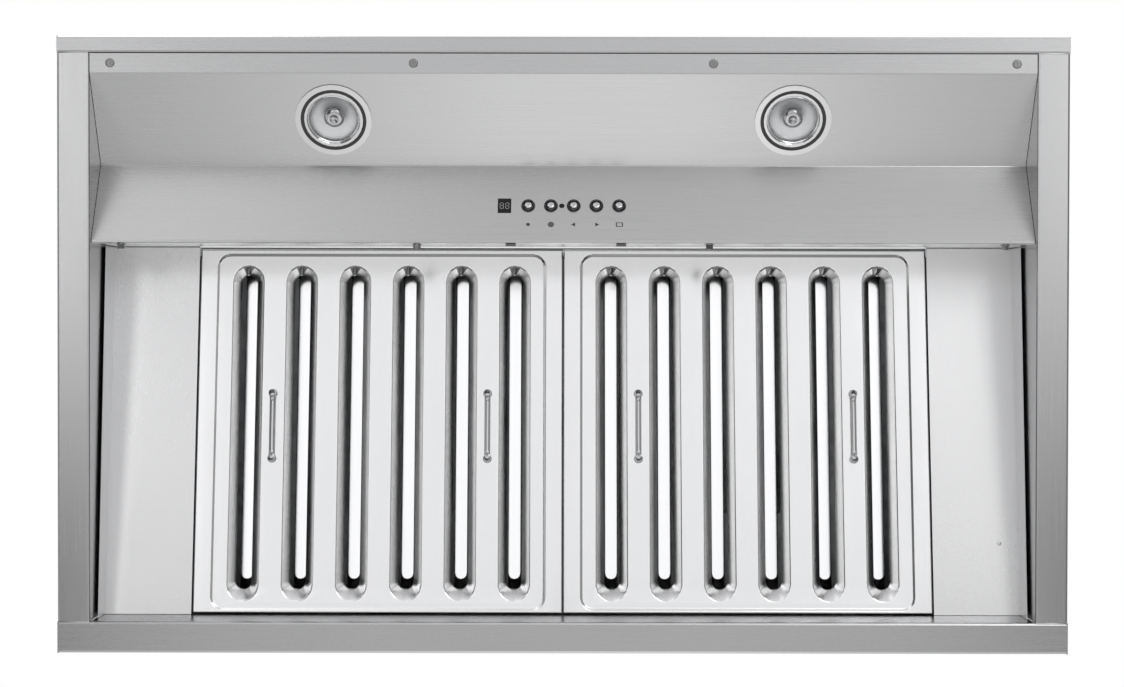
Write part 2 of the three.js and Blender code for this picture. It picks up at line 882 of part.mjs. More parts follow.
function fillerPanel(side) {
  const fromX = fillerInnerX;
  const toX = innerX - fillerSideGap;
  const front = lowerEdgeY + 2 * seat;
  const rear = rearY - seat;
  const height = (y) => rodZ - hingeDrop / Math.cos(filterTilt) - (y - rodY) * Math.tan(filterTilt);
  const rise = thinSheet / Math.cos(filterTilt);
  const plate = shapeOf([
    [front, height(front)],
    [rear, height(rear)],
    [rear, height(rear) + rise],
    [front, height(front) + rise],
  ]);
  const innerFlange = shapeOf([
    [front, height(front)],
    [rear, height(rear)],
    [rear, height(rear) + fillerReturn],
    [front, height(front) + fillerReturn],
  ]);
  const wallFlangeShape = shapeOf([
    [front, height(front) - fillerFlangeFront],
    [rear, height(rear) - fillerFlangeRear],
    [rear, height(rear) + rise],
    [front, height(front) + rise],
  ]);
  const rearFlange = block(
    fromX,
    toX,
    rear - thinSheet,
    rear,
    height(rear) + rise / 2,
    height(rear) + fillerReturn,
  );
  const panel = join(
    extrudeX(plate, fromX, toX),
    extrudeX(innerFlange, fromX, fromX + thinSheet),
    extrudeX(wallFlangeShape, toX - thinSheet, toX),
    rearFlange,
  );
  return side < 0 ? mirrorX(panel) : panel;
}

// A mirrored copy, with its faces turned the right way out again.
function mirrorX(geometry) {
  const mirrored = geometry.clone().scale(-1, 1, 1);
  mirrored.setIndex([...mirrored.index.array].reverse());
  return mirrored;
}

add(root, "filter_rail", filterRail(), galvanised);
add(root, "hanger_rod", hangerRod(), darkSteel);
for (const [name, side] of sides) {
  add(root, "filler_panel_" + name, fillerPanel(side), brushedSteel);
  add(root, "filter_catch_" + name, rearCatch(side * filterCentreX), darkSteel);
}

// ---- Filters -------------------------------------------------------------------------------

// A filter's own frame has its origin on the hanger rod, +Y along the plate and +Z into the hood.
const filterGroup = slopeGroup(rodY, rodZ, -filterTilt);
const halfFilter = filterWidth / 2;
const fieldFront = embossFront;
const fieldRear = plateLength - embossRear;
const fieldMiddle = (fieldFront + fieldRear) / 2;
const fieldHalfLength = (fieldRear - fieldFront) / 2;
const fieldHalfWidth = halfFilter - embossSide;
const ridgeRearFoot = ridgeRearEnd + ridgeRamp;
const underside = -hingeDrop;
const weldStep = 0.1; // the rims and the hem lie this far inside the face of the plate
const slotX = (i) => (i - (slotCount - 1) / 2) * slotPitch;
const movedLoop = (loop, x, y) => loop.map((point) => new THREE.Vector2(point.x + x, point.y + y));

function fieldLoop(inset) {
  const loop = roundedLoop(fieldHalfWidth, fieldHalfLength, embossRadius, inset, 4);
  return movedLoop(loop, 0, fieldMiddle);
}

// A stadium with straight sides along Y, from one end to the other.
function endedLoop(i, halfWidth, front, rear, steps) {
  const loop = slotLoop(halfWidth, (rear - front) / 2, 0, steps);
  return movedLoop(loop, slotX(i), (front + rear) / 2);
}

function lipLoop(i, inset) {
  const rear = slotRearEnd - (inset * lipRearRun) / lipRun;
  return endedLoop(i, slotHalfWidth - inset, slotFrontEnd + inset, rear, 8);
}

// The hem that hooks over the hanger rod: the front edge of the plate, rolled round it.
function rodHem() {
  const arc = (radius) =>
    Array.from({ length: 9 }, (_, i) => {
      const angle = -Math.PI / 2 - (i / 8) * Math.PI * 1.2;
      return [radius * Math.cos(angle), radius * Math.sin(angle)];
    });
  const outerRadius = hingeDrop - weldStep;
  const innerRadius = hingeDrop - thinSheet + weldStep;
  const tail = [
    [1, -outerRadius],
    [1, -innerRadius],
  ];
  const section = shapeOf([tail[0], ...arc(outerRadius), ...arc(innerRadius).reverse(), tail[1]]);
  return extrudeX(section, -halfFilter, halfFilter);
}

// A band of triangles between two loops, facing up where the first lies outside the second.
function band(outer, inner) {
  const count = outer.length;
  const index = [];
  for (let j = 0; j < count; j++) {
    const k = (j + 1) % count;
    index.push(j, k, count + k, j, count + k, count + j);
  }
  const geometry = new THREE.BufferGeometry();
  const positions = [...outer, ...inner].flatMap((point) => [point.x, point.y, point.z]);
  geometry.setAttribute("position", new THREE.Float32BufferAttribute(positions, 3));
  geometry.setIndex(index);
  return geometry;
}

const faceUp = (shape, height) => bareGeometry(new THREE.ShapeGeometry(shape)).translate(0, 0, height);
const faceDown = (shape, height) => turnedOver(faceUp(shape, height));

function bareGeometry(geometry) {
  geometry.deleteAttribute("normal");
  geometry.deleteAttribute("uv");
  return geometry;
}

function turnedOver(geometry) {
  geometry.setIndex([...geometry.index.array].reverse());
  return geometry;
}

// The border, the embossed step round it and the slotted field, pressed from one sheet: its two
// faces are drawn loop by loop, and meet at the outer edge and at the top of each slot's lip.
function pressedSheet() {
  const edge = halfFilter - thinSheet / 2;
  const border = rectangle(-edge, edge, 0, plateLength - thinSheet / 2);
  const outerEdge = border.getPoints();
  border.holes.push(new THREE.Path(fieldLoop(0)));
  const field = new THREE.Shape(fieldLoop(embossSlope));
  const patches = [];
  for (let i = 0; i < slotCount; i++) {
    field.holes.push(new THREE.Path(lipLoop(i, 0)));
    const lower = lipRings(i, false);
    const upper = lipRings(i, true);
    for (let step = 0; step < lipSteps; step++) {
      patches.push(band(lower[step + 1], lower[step]), band(upper[step], upper[step + 1]));
    }
    patches.push(band(upper[lipSteps], lower[lipSteps]));
  }
  const top = thinSheet;
  patches.push(faceDown(border, underside), faceUp(border, underside + top));
  patches.push(faceDown(field, fieldLevel), faceUp(field, fieldLevel + top));
  const ramp = (rise) => [
    ringAt(fieldLoop(0), underside + rise),
    ringAt(fieldLoop(embossSlope), fieldLevel + rise),
  ];
  const [rampFoot, rampHead] = ramp(0);
  patches.push(band(rampHead, rampFoot), band(...ramp(top)));
  patches.push(band(ringAt(outerEdge, underside), ringAt(outerEdge, underside + top)));
  return mergeGeometries(patches);
}

const lipSteps = 3;

// The lip of a slot flares up into the hood: a small fold, a straight slope and an upright edge.
function lipRings(i, onTop) {
  const profile = [
    [0, 0],
    [lipFold, lipFold / 2],
    [lipRun - thinSheet, lipRise - 2 * thinSheet],
    [lipRun, lipRise],
  ];
  return profile.map(([inset, rise], step) => {
    const inner = onTop && step > 0 ? thinSheet : 0;
    const lift = onTop && step < lipSteps ? thinSheet : 0;
    return ringAt(lipLoop(i, inset - inner), fieldLevel + rise + lift * (step > 0 ? 0.4 : 1));
  });
}

// The turned-up rims on the two sides and the rear, as one band.
function filterRim() {
  const front = rimFront;
  const inside = halfFilter - thinSheet;
  const outline = shapeOf([
    [-halfFilter, front],
    [-halfFilter, plateLength],
    [halfFilter, plateLength],
    [halfFilter, front],
    [inside, front],
    [inside, plateLength - thinSheet],
    [-inside, plateLength - thinSheet],
    [-inside, front],
  ]);
  const rim = extrudeZ(outline, underside + weldStep, underside + filterThickness);
  return leaned(rim);
}

// The rear of the filter leans forward from its plate, so that it hangs upright in the hood.
function leaned(geometry) {
  const points = geometry.attributes.position;
  for (let i = 0; i < points.count; i++) {
    if (points.getY(i) > plateLength / 2) {
      points.setY(i, points.getY(i) - rimLean(points.getZ(i)));
    }
  }
  return geometry;
}

function filterPlate() {
  return join(pressedSheet(), filterRim(), rodHem());
}

// The second pressing, above the first. Its ridges stand behind the slots, and the air that has
// met them leaves through the vents between them.
function filterBaffle() {
  const level = underside + filterThickness - 2 * thinSheet;
  const half = halfFilter - thinSheet - seat;
  const rear = plateLength - thinSheet - seat - rimLean(level + thinSheet);
  const plate = extrudeZ(rectangle(-half, half, rimFront, rear), level, level + thinSheet);
  const crown = level - ridgeDepth;
  const outsideRings = [
    [0, ridgeRearFoot, level + thinSheet / 2],
    [0, ridgeRearFoot, level],
    [ridgeEdge / 2, ridgeRearEnd + ridgeEdge / 2, crown + ridgeEdge / 2],
    [ridgeEdge, ridgeRearEnd, crown],
  ];
  const hollowRings = [
    [thinSheet, ridgeRearFoot - thinSheet, level + 2 * thinSheet],
    [ridgeEdge + thinSheet, ridgeRearEnd - thinSheet, crown + thinSheet],
  ];
  const ridge = (i, rings) =>
    loft(
      rings.map(([inset, rear, height]) => {
        const loop = endedLoop(i, ridgeHalfWidth - inset, ridgeFrontEnd + inset, rear, 6);
        return ringAt(loop, height);
      }),
      false,
    );
  const places = Array.from({ length: slotCount }, (_, i) => i);
  const ventHalfLength = (ridgeRearFoot - ridgeFrontEnd) / 2;
  const ventAt = (x, halfWidth) => {
    const loop = roundedLoop(halfWidth, ventHalfLength, ventCorner, 0, 3);
    const outline = new THREE.Shape(movedLoop(loop, x, ridgeFrontEnd + ventHalfLength));
    return extrudeZ(outline, level - thinSheet, level + 2 * thinSheet);
  };
  const besideRidge = ridgeHalfWidth + ridgeLedge;
  const between = places
    .slice(1)
    .map((i) => ventAt(slotX(i) - slotPitch / 2, slotPitch / 2 - besideRidge));
  const outerX = slotX(slotCount - 1) + besideRidge + outerVentHalfWidth;
  const vents = [
    ...between,
    ventAt(-outerX, outerVentHalfWidth),
    ventAt(outerX, outerVentHalfWidth),
  ];
  const pressed = join(plate, ...places.map((i) => ridge(i, outsideRings)));
  return cut(pressed, ...places.map((i) => ridge(i, hollowRings)), ...vents);
}

// A D-shaped wire pull, whose two legs stand square to the plate.
function filterHandle() {
  const foot = fieldLevel - seat;
  const reach = handleLength / 2 - handleWire;
  const top = foot - handleProud + handleWire;
  const path = new THREE.CurvePath();
  const point = (y, z) => new THREE.Vector3(0, y, z);
  path.add(new THREE.LineCurve3(point(-reach, foot), point(-reach, top + handleBend)));
  path.add(
    new THREE.QuadraticBezierCurve3(
      point(-reach, top + handleBend),
      point(-reach, top),
      point(-reach + handleBend, top),
    ),
  );
  path.add(new THREE.LineCurve3(point(-reach + handleBend, top), point(reach - handleBend, top)));
  path.add(
    new THREE.QuadraticBezierCurve3(
      point(reach - handleBend, top),
      point(reach, top),
      point(reach, top + handleBend),
    ),
  );
  path.add(new THREE.LineCurve3(point(reach, top + handleBend), point(reach, foot)));
  const section = new THREE.Shape();
  section.absarc(0, 0, handleWire, 0, 2 * Math.PI);
  return new THREE.ExtrudeGeometry(section, {
    steps: 20,
    curveSegments: 4,
    extrudePath: path,
    bevelEnabled: false,
  });
}

for (const [name, side] of sides) {
  const place = new THREE.Group();
  place.position.x = side * filterCentreX;
  filterGroup.add(place);
  add(place, "filter_plate_" + name, filterPlate(), filterSteel);
  add(place, "filter_baffle_" + name, filterBaffle(), filterSteel);
  for (const [where, end] of sides) {
    const handle = new THREE.Group();
    handle.position.set(end * (slotX(slotCount - 1) - slotPitch / 2), handlePlace * plateLength, 0);
    place.add(handle);
    add(handle, `filter_handle_${name}_${where}`, filterHandle(), handleChrome);
  }
}

// ---- Blower box, duct collar and damper ------------------------------------------------------

function blowerWrap() {
  // The path follows the undersides of the feet and the inner faces of the box.
  const base = deckTop + seat;
  const section = foldedSheet([
    [boxFront - boxFoot, base],
    [boxFront + sheet, base],
    [boxFront + sheet, boxTop - sheet],
    [boxRear - sheet, boxTop - sheet],
    [boxRear - sheet, base],
    [boxRear + boxFoot, base],
  ]);
  const half = boxHalfWidth - sheet - seat;
  const ductHalf = extrudeZ(halfDisc(ductHoleRadius, ductBridge), boxTop - 2 * sheet, boxTop + sheet);
  const ductHoles = sides.map(([, side]) => turnedHalf(ductHalf.clone(), side));
  return cut(extrudeX(section, -half, half), ...ductHoles);
}

// The part of a disc that lies more than `setback` to the right of its centre.
function halfDisc(radius, setback) {
  const start = Math.asin(setback / radius);
  const shape = new THREE.Shape();
  shape.absarc(0, 0, radius, -Math.PI / 2 + start, Math.PI / 2 - start, false);
  return shape;
}

// A half disc set at the collar, turned to the left side or kept on the right.
function turnedHalf(geometry, side) {
  return geometry.rotateZ(side < 0 ? Math.PI : 0).translate(0, collarY, 0);
}

function blowerEnd(side) {
  const bottom = deckTop + seat;
  const face = boxHalfWidth - sheet;
  const plate = block(face, face + sheet, boxFront, boxRear, bottom, boxTop);
  const foot = block(face, face + boxFoot, boxFront, boxRear, bottom, bottom + sheet);
  const end = join(plate, foot);
  return side < 0 ? mirrorX(end) : end;
}

function ductCollar() {
  const base = boxTop + seat;
  const inside = collarRadius - thinSheet;
  const top = boxTop + collarHeight;
  const bead = top - collarBeadDrop;
  return revolveZ(
    [
      [inside, base],
      [collarRadius + collarFlange, base],
      [collarRadius + collarFlange, base + thinSheet],
      [collarRadius, base + thinSheet],
      [collarRadius, bead - collarBeadHalf],
      [collarRadius + collarBead, bead],
      [collarRadius, bead + collarBeadHalf],
      [collarRadius, top],
      [inside, top],
    ],
    32,
  ).translate(0, collarY, 0);
}

const flapBottom = boxTop + seat;
const damperRodZ = flapBottom + flapThickness + seat + damperRodRadius;

function damperRod() {
  const half = Math.sqrt((collarRadius - thinSheet - seat) ** 2 - damperRodRadius ** 2);
  return new THREE.CylinderGeometry(damperRodRadius, damperRodRadius, 2 * half, 12).translate(
    0,
    collarY,
    damperRodZ,
  );
}

function damperFlap(side) {
  const flap = extrudeZ(halfDisc(flapRadius, flapSetback), flapBottom, flapBottom + flapThickness);
  return turnedHalf(flap, side);
}

add(root, "blower_wrap", blowerWrap(), galvanised);
add(root, "duct_collar", ductCollar(), galvanised);
add(root, "damper_rod", damperRod(), darkSteel);
for (const [name, side] of sides) {
  add(root, "blower_end_" + name, blowerEnd(side), galvanised);
  add(root, "damper_flap_" + name, damperFlap(side), galvanised);
}

// ---- Scroll, motor and wheel -----------------------------------------------------------------

// A point on the scroll, `quarterTurns` on from its top towards the front, then under the wheel.
function scrollPoint(quarterTurns, extra = 0) {
  const radius = scrollRadius(quarterTurns) + extra;
  const angle = ((1 + quarterTurns) * Math.PI) / 2;
  return [scrollAxisY + radius * Math.cos(angle), scrollAxisZ + radius * Math.sin(angle)];
}

const cutoffTurn = -(Math.asin(scrollCutoff / scrollStart) * 2) / Math.PI;
const scrollTurns = Array.from(
  { length: scrollSteps + 1 },
  (_, i) => cutoffTurn + ((3 - cutoffTurn) * i) / scrollSteps,
);
const cutoffY = scrollPoint(cutoffTurn)[0];

function scrollWrap() {
  const path = [
    [cutoffY - scrollFlange, scrollTop],
    [cutoffY, scrollTop],
    ...scrollTurns.map((turns) => scrollPoint(turns)),
    [outletRearY, scrollTop],
    [outletRearY + scrollFlange, scrollTop],
  ].map(([y, z]) => new THREE.Vector2(y, z));
  const section = new THREE.Shape([...path, ...offsetPath(path, -sheet).reverse()]);
  return extrudeX(section, -scrollHalfWidth + seat, scrollHalfWidth - seat);
}

function scrollCheek(side) {
  const outline = shapeOf([
    [cutoffY, scrollTop],
    ...scrollTurns.map((turns) => scrollPoint(turns, sheet)),
    [outletRearY + sheet, scrollTop],
  ]);
  const inlet = new THREE.Path();
  inlet.absarc(scrollAxisY, scrollAxisZ, inletRadius, 0, 2 * Math.PI, true);
  outline.holes.push(inlet);
  const plate = extrudeX(outline, scrollHalfWidth, scrollHalfWidth + sheet);
  const cone = revolveX(
    [
      [inletRadius + inletConeFlare, scrollHalfWidth + sheet / 2],
      [inletRadius - sheet, scrollHalfWidth - inletConeDepth],
      [inletRadius - sheet + thinSheet, scrollHalfWidth - inletConeDepth],
      [inletRadius + inletConeFlare + thinSheet, scrollHalfWidth + sheet / 2],
    ],
    32,
  ).translate(0, scrollAxisY, scrollAxisZ);
  const cheek = join(plate, cone);
  return side < 0 ? mirrorX(cheek) : cheek;
}

const bracketFace = -scrollHalfWidth - sheet - seat;

function motorBracket() {
  const reach = inletRadius + bracketOverlap;
  const hub = new THREE.CylinderGeometry(bracketHubRadius, bracketHubRadius, sheet, 24)
    .rotateZ(Math.PI / 2)
    .translate(bracketFace - sheet / 2, scrollAxisY, scrollAxisZ);
  const arms = [0, 1, 2].map((i) =>
    new THREE.BoxGeometry(sheet, bracketArmWidth, reach)
      .translate(bracketFace - sheet / 2, 0, reach / 2)
      .applyMatrix4(new THREE.Matrix4().makeRotationX((i * 2 * Math.PI) / 3))
      .translate(0, scrollAxisY, scrollAxisZ),
  );
  return join(hub, ...arms);
}

function motorBody() {
  const back = bracketFace + seat;
  const front = back + motorLength;
  const bore = shaftRadius + seat;
  return revolveX([
    [bore, back],
    [motorRearRadius, back],
    [motorRadius - motorShoulder, back + 2 * motorShoulder],
    [motorRadius, back + 3.5 * motorShoulder],
    [motorRadius, front - 2.5 * motorShoulder],
    [motorRadius - motorShoulder, front - motorShoulder / 2],
    [motorBossRadius, front - motorShoulder / 2],
    [motorBossRadius, front + motorBoss],
    [bore, front + motorBoss],
  ]).translate(0, scrollAxisY, scrollAxisZ);
}

function bladeShape(i) {
  const inner = wheelRadius - bladeDepth;
  const along = (share, shift) => {
    const radius = inner + share * bladeDepth;
    const angle = (i / bladeCount) * 2 * Math.PI + bladeLean * share * share;
    return [
      radius * Math.cos(angle) - shift * Math.sin(angle),
      radius * Math.sin(angle) + shift * Math.cos(angle),
    ];
  };
  const shares = [0, 0.5, 0.97];
  const face = shares.map((share) => along(share, bladeThickness / 2));
  const back = shares.map((share) => along(share, -bladeThickness / 2)).reverse();
  return shapeOf([...face, ...back]);
}

function blowerWheel() {
  const ring = (x) =>
    revolveX(
      [
        [wheelRadius - bladeDepth * 0.45, x - wheelRingHalf],
        [wheelRadius, x - wheelRingHalf],
        [wheelRadius, x + wheelRingHalf],
        [wheelRadius - bladeDepth * 0.45, x + wheelRingHalf],
      ],
      bladeCount,
    );
  const motorFront = bracketFace + seat + motorLength + motorBoss;
  const hubStart = motorFront + wheelHubGap;
  const hub = revolveX(
    [
      [0, motorFront - shaftInMotor],
      [shaftRadius, motorFront - shaftInMotor],
      [shaftRadius, hubStart],
      [wheelHubRadius, hubStart],
      [wheelHubRadius, hubStart + wheelHubLength],
      [0, hubStart + wheelHubLength],
    ],
    24,
  );
  const plateX = hubStart + wheelPlateSetback;
  const plate = revolveX(
    [
      [0, plateX],
      [wheelRadius - bladeDepth * 0.3, plateX],
      [wheelRadius - bladeDepth * 0.3, plateX + wheelPlate],
      [0, plateX + wheelPlate],
    ],
    bladeCount,
  );
  const blades = Array.from({ length: bladeCount }, (_, i) =>
    extrudeX(bladeShape(i), -wheelHalfWidth + bladeThickness, wheelHalfWidth - bladeThickness),
  );
  const rings = [wheelRingHalf - wheelHalfWidth, wheelHalfWidth - wheelRingHalf].map(ring);
  return join(hub, plate, ...rings, ...blades).translate(0, scrollAxisY, scrollAxisZ);
}

add(root, "scroll_wrap", scrollWrap(), galvanised);
for (const [name, side] of sides) {
  add(root, "scroll_cheek_" + name, scrollCheek(side), galvanised);
}
add(root, "motor_bracket", motorBracket(), darkSteel);
add(root, "motor_body", motorBody(), darkSteel);
add(root, "blower_wheel", blowerWheel(), galvanised);

// ---- Electrical pieces -----------------------------------------------------------------------

const wiringLeft = -innerX + wiringBoxInset;
const wiringRight = -boxHalfWidth - boxFoot - wiringBoxGap;
const wiringBase = deckTop + seat;
const wiringTop = wiringBase + wiringBoxHeight;

function wiringBox() {
  const half = wiringBoxDepth / 2;
  const outside = block(wiringLeft, wiringRight, -half, half, wiringBase, wiringTop);
  const inside = block(
    wiringLeft + sheet,
    wiringRight - sheet,
    -half + sheet,
    half - sheet,
    wiringBase + sheet,
    wiringTop + sheet,
  );
  const knockout = new THREE.CylinderGeometry(bushingRadius, bushingRadius, 4 * sheet, 24)
    .rotateZ(Math.PI / 2)
    .translate(wiringLeft, 0, (wiringBase + wiringTop) / 2);
  return cut(outside, inside, knockout);
}

function wiringCover() {
  const half = wiringBoxDepth / 2;
  const lap = sheet + 2 * seat;
  const section = foldedSheet([
    [wiringRight + lap, wiringTop - coverSkirt],
    [wiringRight + lap, wiringTop + lap],
    [wiringLeft - lap, wiringTop + lap],
    [wiringLeft - lap, wiringTop - coverSkirt],
  ]);
  return extrudeY(section, -half, half);
}

function cableBushing() {
  const middle = (wiringBase + wiringTop) / 2;
  const hole = bushingRadius - bushingWall;
  return revolveX(
    [
      [hole, -bushingHead],
      [bushingRadius - bushingCollar, -bushingHead],
      [bushingRadius + bushingCollar, bushingCollar - bushingHead],
      [bushingRadius + bushingCollar, -seat],
      [bushingRadius - seat, -seat],
      [bushingRadius - seat, bushingInside],
      [hole, bushingInside],
    ],
    20,
  ).translate(wiringLeft, 0, middle);
}

function capacitor() {
  const end = boxHalfWidth - sheet - seat;
  return revolveX(
    [
      [0, end - capacitorLength],
      [capacitorRadius - capacitorEdge, end - capacitorLength],
      [capacitorRadius, end - capacitorLength + capacitorEdge],
      [capacitorRadius, end],
      [0, end],
    ],
    24,
  ).translate(0, boxRear - capacitorSetback, boxTop - capacitorDrop);
}

add(root, "wiring_box", wiringBox(), galvanised);
add(root, "wiring_box_cover", wiringCover(), galvanised);
add(root, "cable_bushing", cableBushing(), blackPlastic);
add(root, "capacitor", capacitor(), greyPlastic);

export default root;
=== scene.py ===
import json
import math

import bmesh
import bpy
from mathutils import Matrix, Vector


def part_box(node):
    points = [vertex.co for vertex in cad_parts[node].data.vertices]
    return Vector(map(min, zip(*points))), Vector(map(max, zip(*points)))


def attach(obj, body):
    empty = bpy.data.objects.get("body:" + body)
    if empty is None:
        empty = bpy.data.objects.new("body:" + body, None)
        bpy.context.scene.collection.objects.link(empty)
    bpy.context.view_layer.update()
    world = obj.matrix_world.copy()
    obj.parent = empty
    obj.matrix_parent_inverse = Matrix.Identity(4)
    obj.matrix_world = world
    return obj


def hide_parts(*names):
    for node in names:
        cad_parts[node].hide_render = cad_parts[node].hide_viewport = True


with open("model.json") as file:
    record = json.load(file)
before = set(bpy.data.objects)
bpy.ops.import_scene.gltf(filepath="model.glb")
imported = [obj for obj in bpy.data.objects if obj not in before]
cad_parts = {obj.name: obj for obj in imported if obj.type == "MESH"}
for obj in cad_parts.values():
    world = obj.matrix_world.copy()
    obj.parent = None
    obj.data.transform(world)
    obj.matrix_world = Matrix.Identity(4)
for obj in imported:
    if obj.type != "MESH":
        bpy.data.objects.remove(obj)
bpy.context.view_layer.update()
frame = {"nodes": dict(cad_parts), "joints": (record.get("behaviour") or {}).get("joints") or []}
bpy.ops.object.select_all(action="DESELECT")
MM = 0.001

# ---- Camera --------------------------------------------------
# The hood is seen from straight below, as a cook would see it, with the console at the top of
# the picture and the blower hidden above.

camera_place = (0, -0.0282, -1.8501)
camera_forward = Vector((-0.0005, 0.0142, 1)).normalized()
camera_roll = 0.0016
camera_data = bpy.data.cameras.new("camera_below")
camera_data.lens = 66.53
camera_data.sensor_width = 36
camera = bpy.data.objects.new("camera_below", camera_data)
bpy.context.scene.collection.objects.link(camera)
camera_right = camera_forward.cross(Vector((0, -1, 0))).normalized()
camera_up = camera_right.cross(camera_forward)
camera_turn = Matrix.Rotation(camera_roll, 3, "Z")
camera_axes = Matrix((camera_right, camera_up, -camera_forward)).transposed() @ camera_turn
camera.matrix_world = Matrix.Translation(camera_place) @ camera_axes.to_4x4()
bpy.context.scene.camera = camera

# ---- Room ----------------------------------------------------
# A pale floor two metres below the hood and a white room round it. Metal and glass reflect the
# room as the camera sees it, two broad lamps give soft shade, and grey cards that only
# reflections show give the steel its slow changes of tone.


def fed(node, entries):
    """Links the inputs of a node to sockets, or sets them to values."""
    for name, entry in entries.items():
        if isinstance(entry, bpy.types.NodeSocket):
            node.id_data.links.new(entry, node.inputs[name])
        else:
            node.inputs[name].default_value = entry
    return node


def fed_node(tree, kind, entries, operation=None):
    node = tree.nodes.new("ShaderNode" + kind)
    if operation:
        node.operation = operation
    return fed(node, entries)


def math_of(tree, operation, *entries):
    return fed_node(tree, "Math", dict(enumerate(entries)), operation).outputs[0]


def object_place(tree):
    return tree.nodes.new("ShaderNodeTexCoord").outputs["Object"]


def seen_by_eye_or_mirror(tree):
    """A mask of 1 for camera, glossy and transmission rays."""
    path = tree.nodes.new("ShaderNodeLightPath")
    either = math_of(tree, "MAXIMUM", path.outputs["Is Camera Ray"], path.outputs["Is Glossy Ray"])
    return math_of(tree, "MAXIMUM", either, path.outputs["Is Transmission Ray"])


def background(tree, colour, strength):
    entries = {"Color": (*colour, 1), "Strength": strength}
    return fed_node(tree, "Background", entries).outputs[0]


def white_room():
    world = bpy.data.worlds.new("white_room")
    world.use_nodes = True
    tree = world.node_tree
    tree.nodes.clear()
    light = background(tree, (0.97, 0.98, 1), 0.55)
    shown = background(tree, (1, 1, 1), 1.0)
    mixed = fed_node(tree, "MixShader", {0: seen_by_eye_or_mirror(tree), 1: light, 2: shown})
    fed_node(tree, "OutputWorld", {"Surface": mixed.outputs[0]})
    bpy.context.scene.world = world


def empty_material(name):
    """A material without nodes, and its tree."""
    material = bpy.data.materials.new(name)
    material.use_nodes = True
    material.node_tree.nodes.clear()
    return material, material.node_tree


def pale_floor_paint():
    paint, tree = empty_material("floor_paint")
    matt = fed_node(tree, "BsdfDiffuse", {"Color": (0.82, 0.82, 0.82, 1)})
    glow_strength = math_of(tree, "MULTIPLY", seen_by_eye_or_mirror(tree), 0.45)
    glow = fed_node(tree, "Emission", {"Strength": glow_strength})
    both = fed_node(tree, "AddShader", {0: matt.outputs[0], 1: glow.outputs[0]})
    fed_node(tree, "OutputMaterial", {"Surface": both.outputs[0]})
    return paint


def aimed(thing, place, target, axis):
    """Puts a thing in its place with an axis of its own turned to the target."""
    thing.location = place
    thing.rotation_euler = (Vector(target) - Vector(place)).to_track_quat(axis, "Y").to_euler()


def soft_lamp(name, place, target, size, power):
    data = bpy.data.lights.new(name, "AREA")
    data.size = size
    data.energy = power
    lamp = bpy.data.objects.new(name, data)
    bpy.context.scene.collection.objects.link(lamp)
    aimed(lamp, place, target, "-Z")


def graded_paper(name, axis, length, tones):
    """Paper that glows in tones given as (share of the length along its own axis, tone)."""
    paper, tree = empty_material(name)
    apart = fed_node(tree, "SeparateXYZ", {0: object_place(tree)})
    share = math_of(tree, "MULTIPLY_ADD", apart.outputs[axis], 1 / length, 0.5)
    ramp = fed_node(tree, "ValToRGB", {"Fac": share})
    while len(ramp.color_ramp.elements) < len(tones):
        ramp.color_ramp.elements.new(0.5)
    for element, (position, tone) in zip(ramp.color_ramp.elements, tones):
        element.position = position
        element.color = (tone, tone, tone, 1)
    glow = fed_node(tree, "Emission", {"Color": ramp.outputs["Color"]})
    fed_node(tree, "OutputMaterial", {"Surface": glow.outputs[0]})
    return paper


def mirror_card(name, place, target, size, axis, tones):
    """A card that only reflections show."""
    bpy.ops.mesh.primitive_plane_add(size=1)
    card = bpy.context.object
    card.name = name
    card.data.transform(Matrix.Diagonal((*size, 1, 1)))
    aimed(card, place, target, "Z")
    card.data.materials.append(graded_paper(name + "_paper", axis, size["XY".index(axis)], tones))
    card.visible_camera = False
    card.visible_diffuse = False
    card.visible_shadow = False
    card.visible_transmission = False
    card.select_set(False)


bpy.context.scene.view_settings.view_transform = "Standard"
white_room()
bpy.ops.mesh.primitive_plane_add(size=60, location=(0, 0, -2.15))
floor = bpy.context.object
floor.name = "floor"
floor.data.materials.append(pale_floor_paint())
floor.select_set(False)
soft_lamp("lamp_above", (-1.6, -1.8, 2.4), (0, 0, 0.15), 1.8, 60)
soft_lamp("lamp_below", (1.2, -1.5, -1.9), (0, 0, 0), 1.6, 22)
behind_tones = [(0, 0.7), (0.2, 0.94), (0.42, 1.5), (0.55, 1.75), (0.64, 1.62), (0.8, 0.94), (1, 1)]
mirror_card("card_behind", (0, 1.6, -1.24), (0, -0.2, 0.02), (2.4, 1), "X", behind_tones)
front_tones = [(0, 0.88), (0.21, 0.91), (0.35, 0.97), (0.5, 0.83), (0.64, 1.08), (0.79, 1.37), (1, 1.4)]
mirror_card("card_front", (0, -1.8, -0.84), (0, -0.12, 0.02), (2.4, 1), "X", front_tones)
low_tones = [(0, 0.85), (0.95, 0.85), (1, 1)]
mirror_card("card_low", (0, 1.1, -2), (0, 1.1, 0), (4, 2.2), "Y", low_tones)
left_tones = [(0.1, 0.18), (0.25, 0.3), (0.49, 1.85), (0.7, 2.4), (1, 2.5)]
mirror_card("card_left_strip", (-1.0, 0, -1.97), (-1.0, 0, 0), (0.26, 1.5), "Y", left_tones)
far_tones = [(0, 0.12), (1, 0.12)]
mirror_card("card_far_left", (-2.43, -0.6, -1.97), (-2.43, -0.6, 0), (2.6, 3.2), "Y", far_tones)
right_tones = [(0.1, 0.12), (0.25, 0.2), (0.49, 1.1), (0.7, 1.9), (1, 2)]
mirror_card("card_right_strip", (1.12, 0, -1.97), (1.12, 0, 0), (0.44, 1.5), "Y", right_tones)
dark_tones = [(0, 0.34), (0.5, 0.34), (1, 0.36)]
